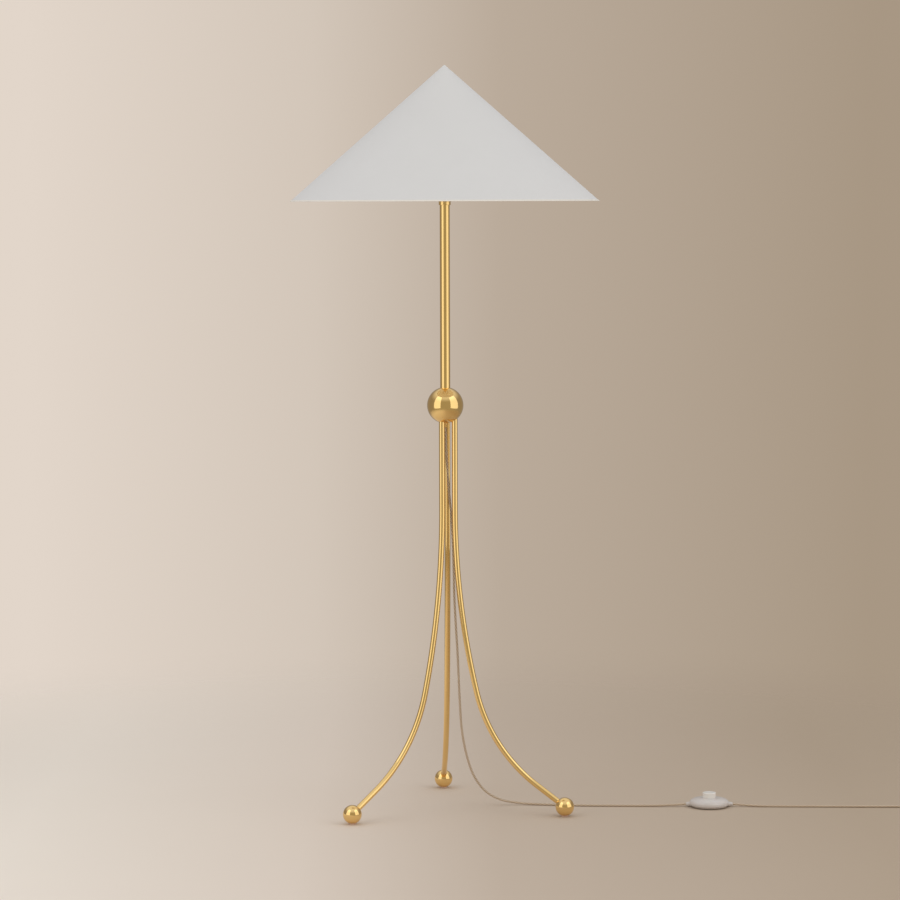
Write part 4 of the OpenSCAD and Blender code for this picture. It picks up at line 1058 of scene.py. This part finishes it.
def floorWithPaintedFalloff():
    # pale floor that grows clearer with distance, so that it meets the backdrop softly; its colour is
    # painted lighter on the left and darker on the right, a painted falloff of the studio light
    f = Finish("floorWithPaintedFalloff")
    x, y, _ = f.axes()
    grain = f.noise(3.0, 4, 0.6)
    stops = [(t, rgb(*(min(c * g, 0.95) for c, g in zip(colour, studio["floorGain"]))))
             for t, colour in studio["across"]]
    share = x / (studio["lookFrom"] * studio["spread"]) + 0.5
    # painted light and shade: the ramp darkens the floor from left to right
    colour = f.ramp(share, stops)
    matt = f.add("ShaderNodeBsdfPrincipled", None, {
        "Base Color": f.blend(grain * 0.04, colour, rgb(0.60, 0.53, 0.44)),
        "Roughness": 0.8, "Specular IOR Level": 0.1})
    far = (x * x + y * y) ** 0.5
    clear = f.add("ShaderNodeMapRange", {"interpolation_type": "SMOOTHSTEP"}, {
        "Value": far, "From Min": studio["fadeStart"], "From Max": studio["fadeEnd"]})
    return f.output(f.add("ShaderNodeMixShader", None, {
        0: clear, 1: matt, 2: f.add("ShaderNodeBsdfTransparent")}))


def makeFloor():
    t = np.linspace(0, 2 * math.pi, 96, endpoint=False)
    points = np.vstack([np.stack([np.cos(t), np.sin(t), 0 * t], 1) * studio["floorSize"],
                        [(0.0, 0.0, 0.0)]])
    k = np.arange(96)
    fan = np.stack([np.full(96, 96), k, (k + 1) % 96], 1)
    floor = buildPiece("studioFloor", points, fan.tolist())
    floor.data.materials.append(floorWithPaintedFalloff())
    floor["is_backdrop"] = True


def makeBackdrop():
    # seen directly, the surroundings grow darker from left to right; as light, they are
    # brightest above, and brighter behind the camera than beyond the lamp
    world = bpy.data.worlds.new("backdrop")
    bpy.context.scene.world = world
    f = Finish("backdrop", world)
    x, y, z = f.axes("Generated")
    seen = f.ramp(x / studio["spread"] + 0.5, studio["across"])
    level = f.blend(f.add("ShaderNodeMapRange", {"interpolation_type": "SMOOTHSTEP"}, {
        "Value": y, "From Min": -0.9, "From Max": 0.3}), studio["behind"], studio["ahead"])
    light = f.blend(f.add("ShaderNodeMapRange", {"interpolation_type": "SMOOTHSTEP"}, {
        "Value": z, "From Min": 0.35, "From Max": 0.85}), level, studio["above"])
    straight = f.add("ShaderNodeLightPath")
    sky = f.add("ShaderNodeBackground", None, {"Color": f.blend(straight, light, seen)})
    f.tree.links.new(sky.socket, f.tree.nodes.new("ShaderNodeOutputWorld").inputs["Surface"])


softBoxes = {
    # name: distance, degrees from the front (left is negative), centre height, size, glow
    "leftBox": (3.0, -53, 2.35, (2.5, 4.7), 0.78),
    "rightBox": (3.0, 61, 2.35, (3.0, 4.7), 0.74),
}


def softLight(name, distance, turn, height, size, glow):
    # glow is the panel's brightness, which its power spreads over its area
    data = bpy.data.lights.new(name, "AREA")
    data.shape = "RECTANGLE"
    data.size, data.size_y = size
    data.energy = glow * math.pi * size[0] * size[1]
    made = bpy.data.objects.new(name, data)
    bpy.context.scene.collection.objects.link(made)
    angle = math.radians(turn)
    made.location = (distance * math.sin(angle), -distance * math.cos(angle), height)
    made.rotation_euler = (math.pi / 2, 0, angle)
    made.visible_camera = False


makeFloor()
makeBackdrop()
for name, values in softBoxes.items():
    softLight(name, *values)
print("studio made")

low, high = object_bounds()
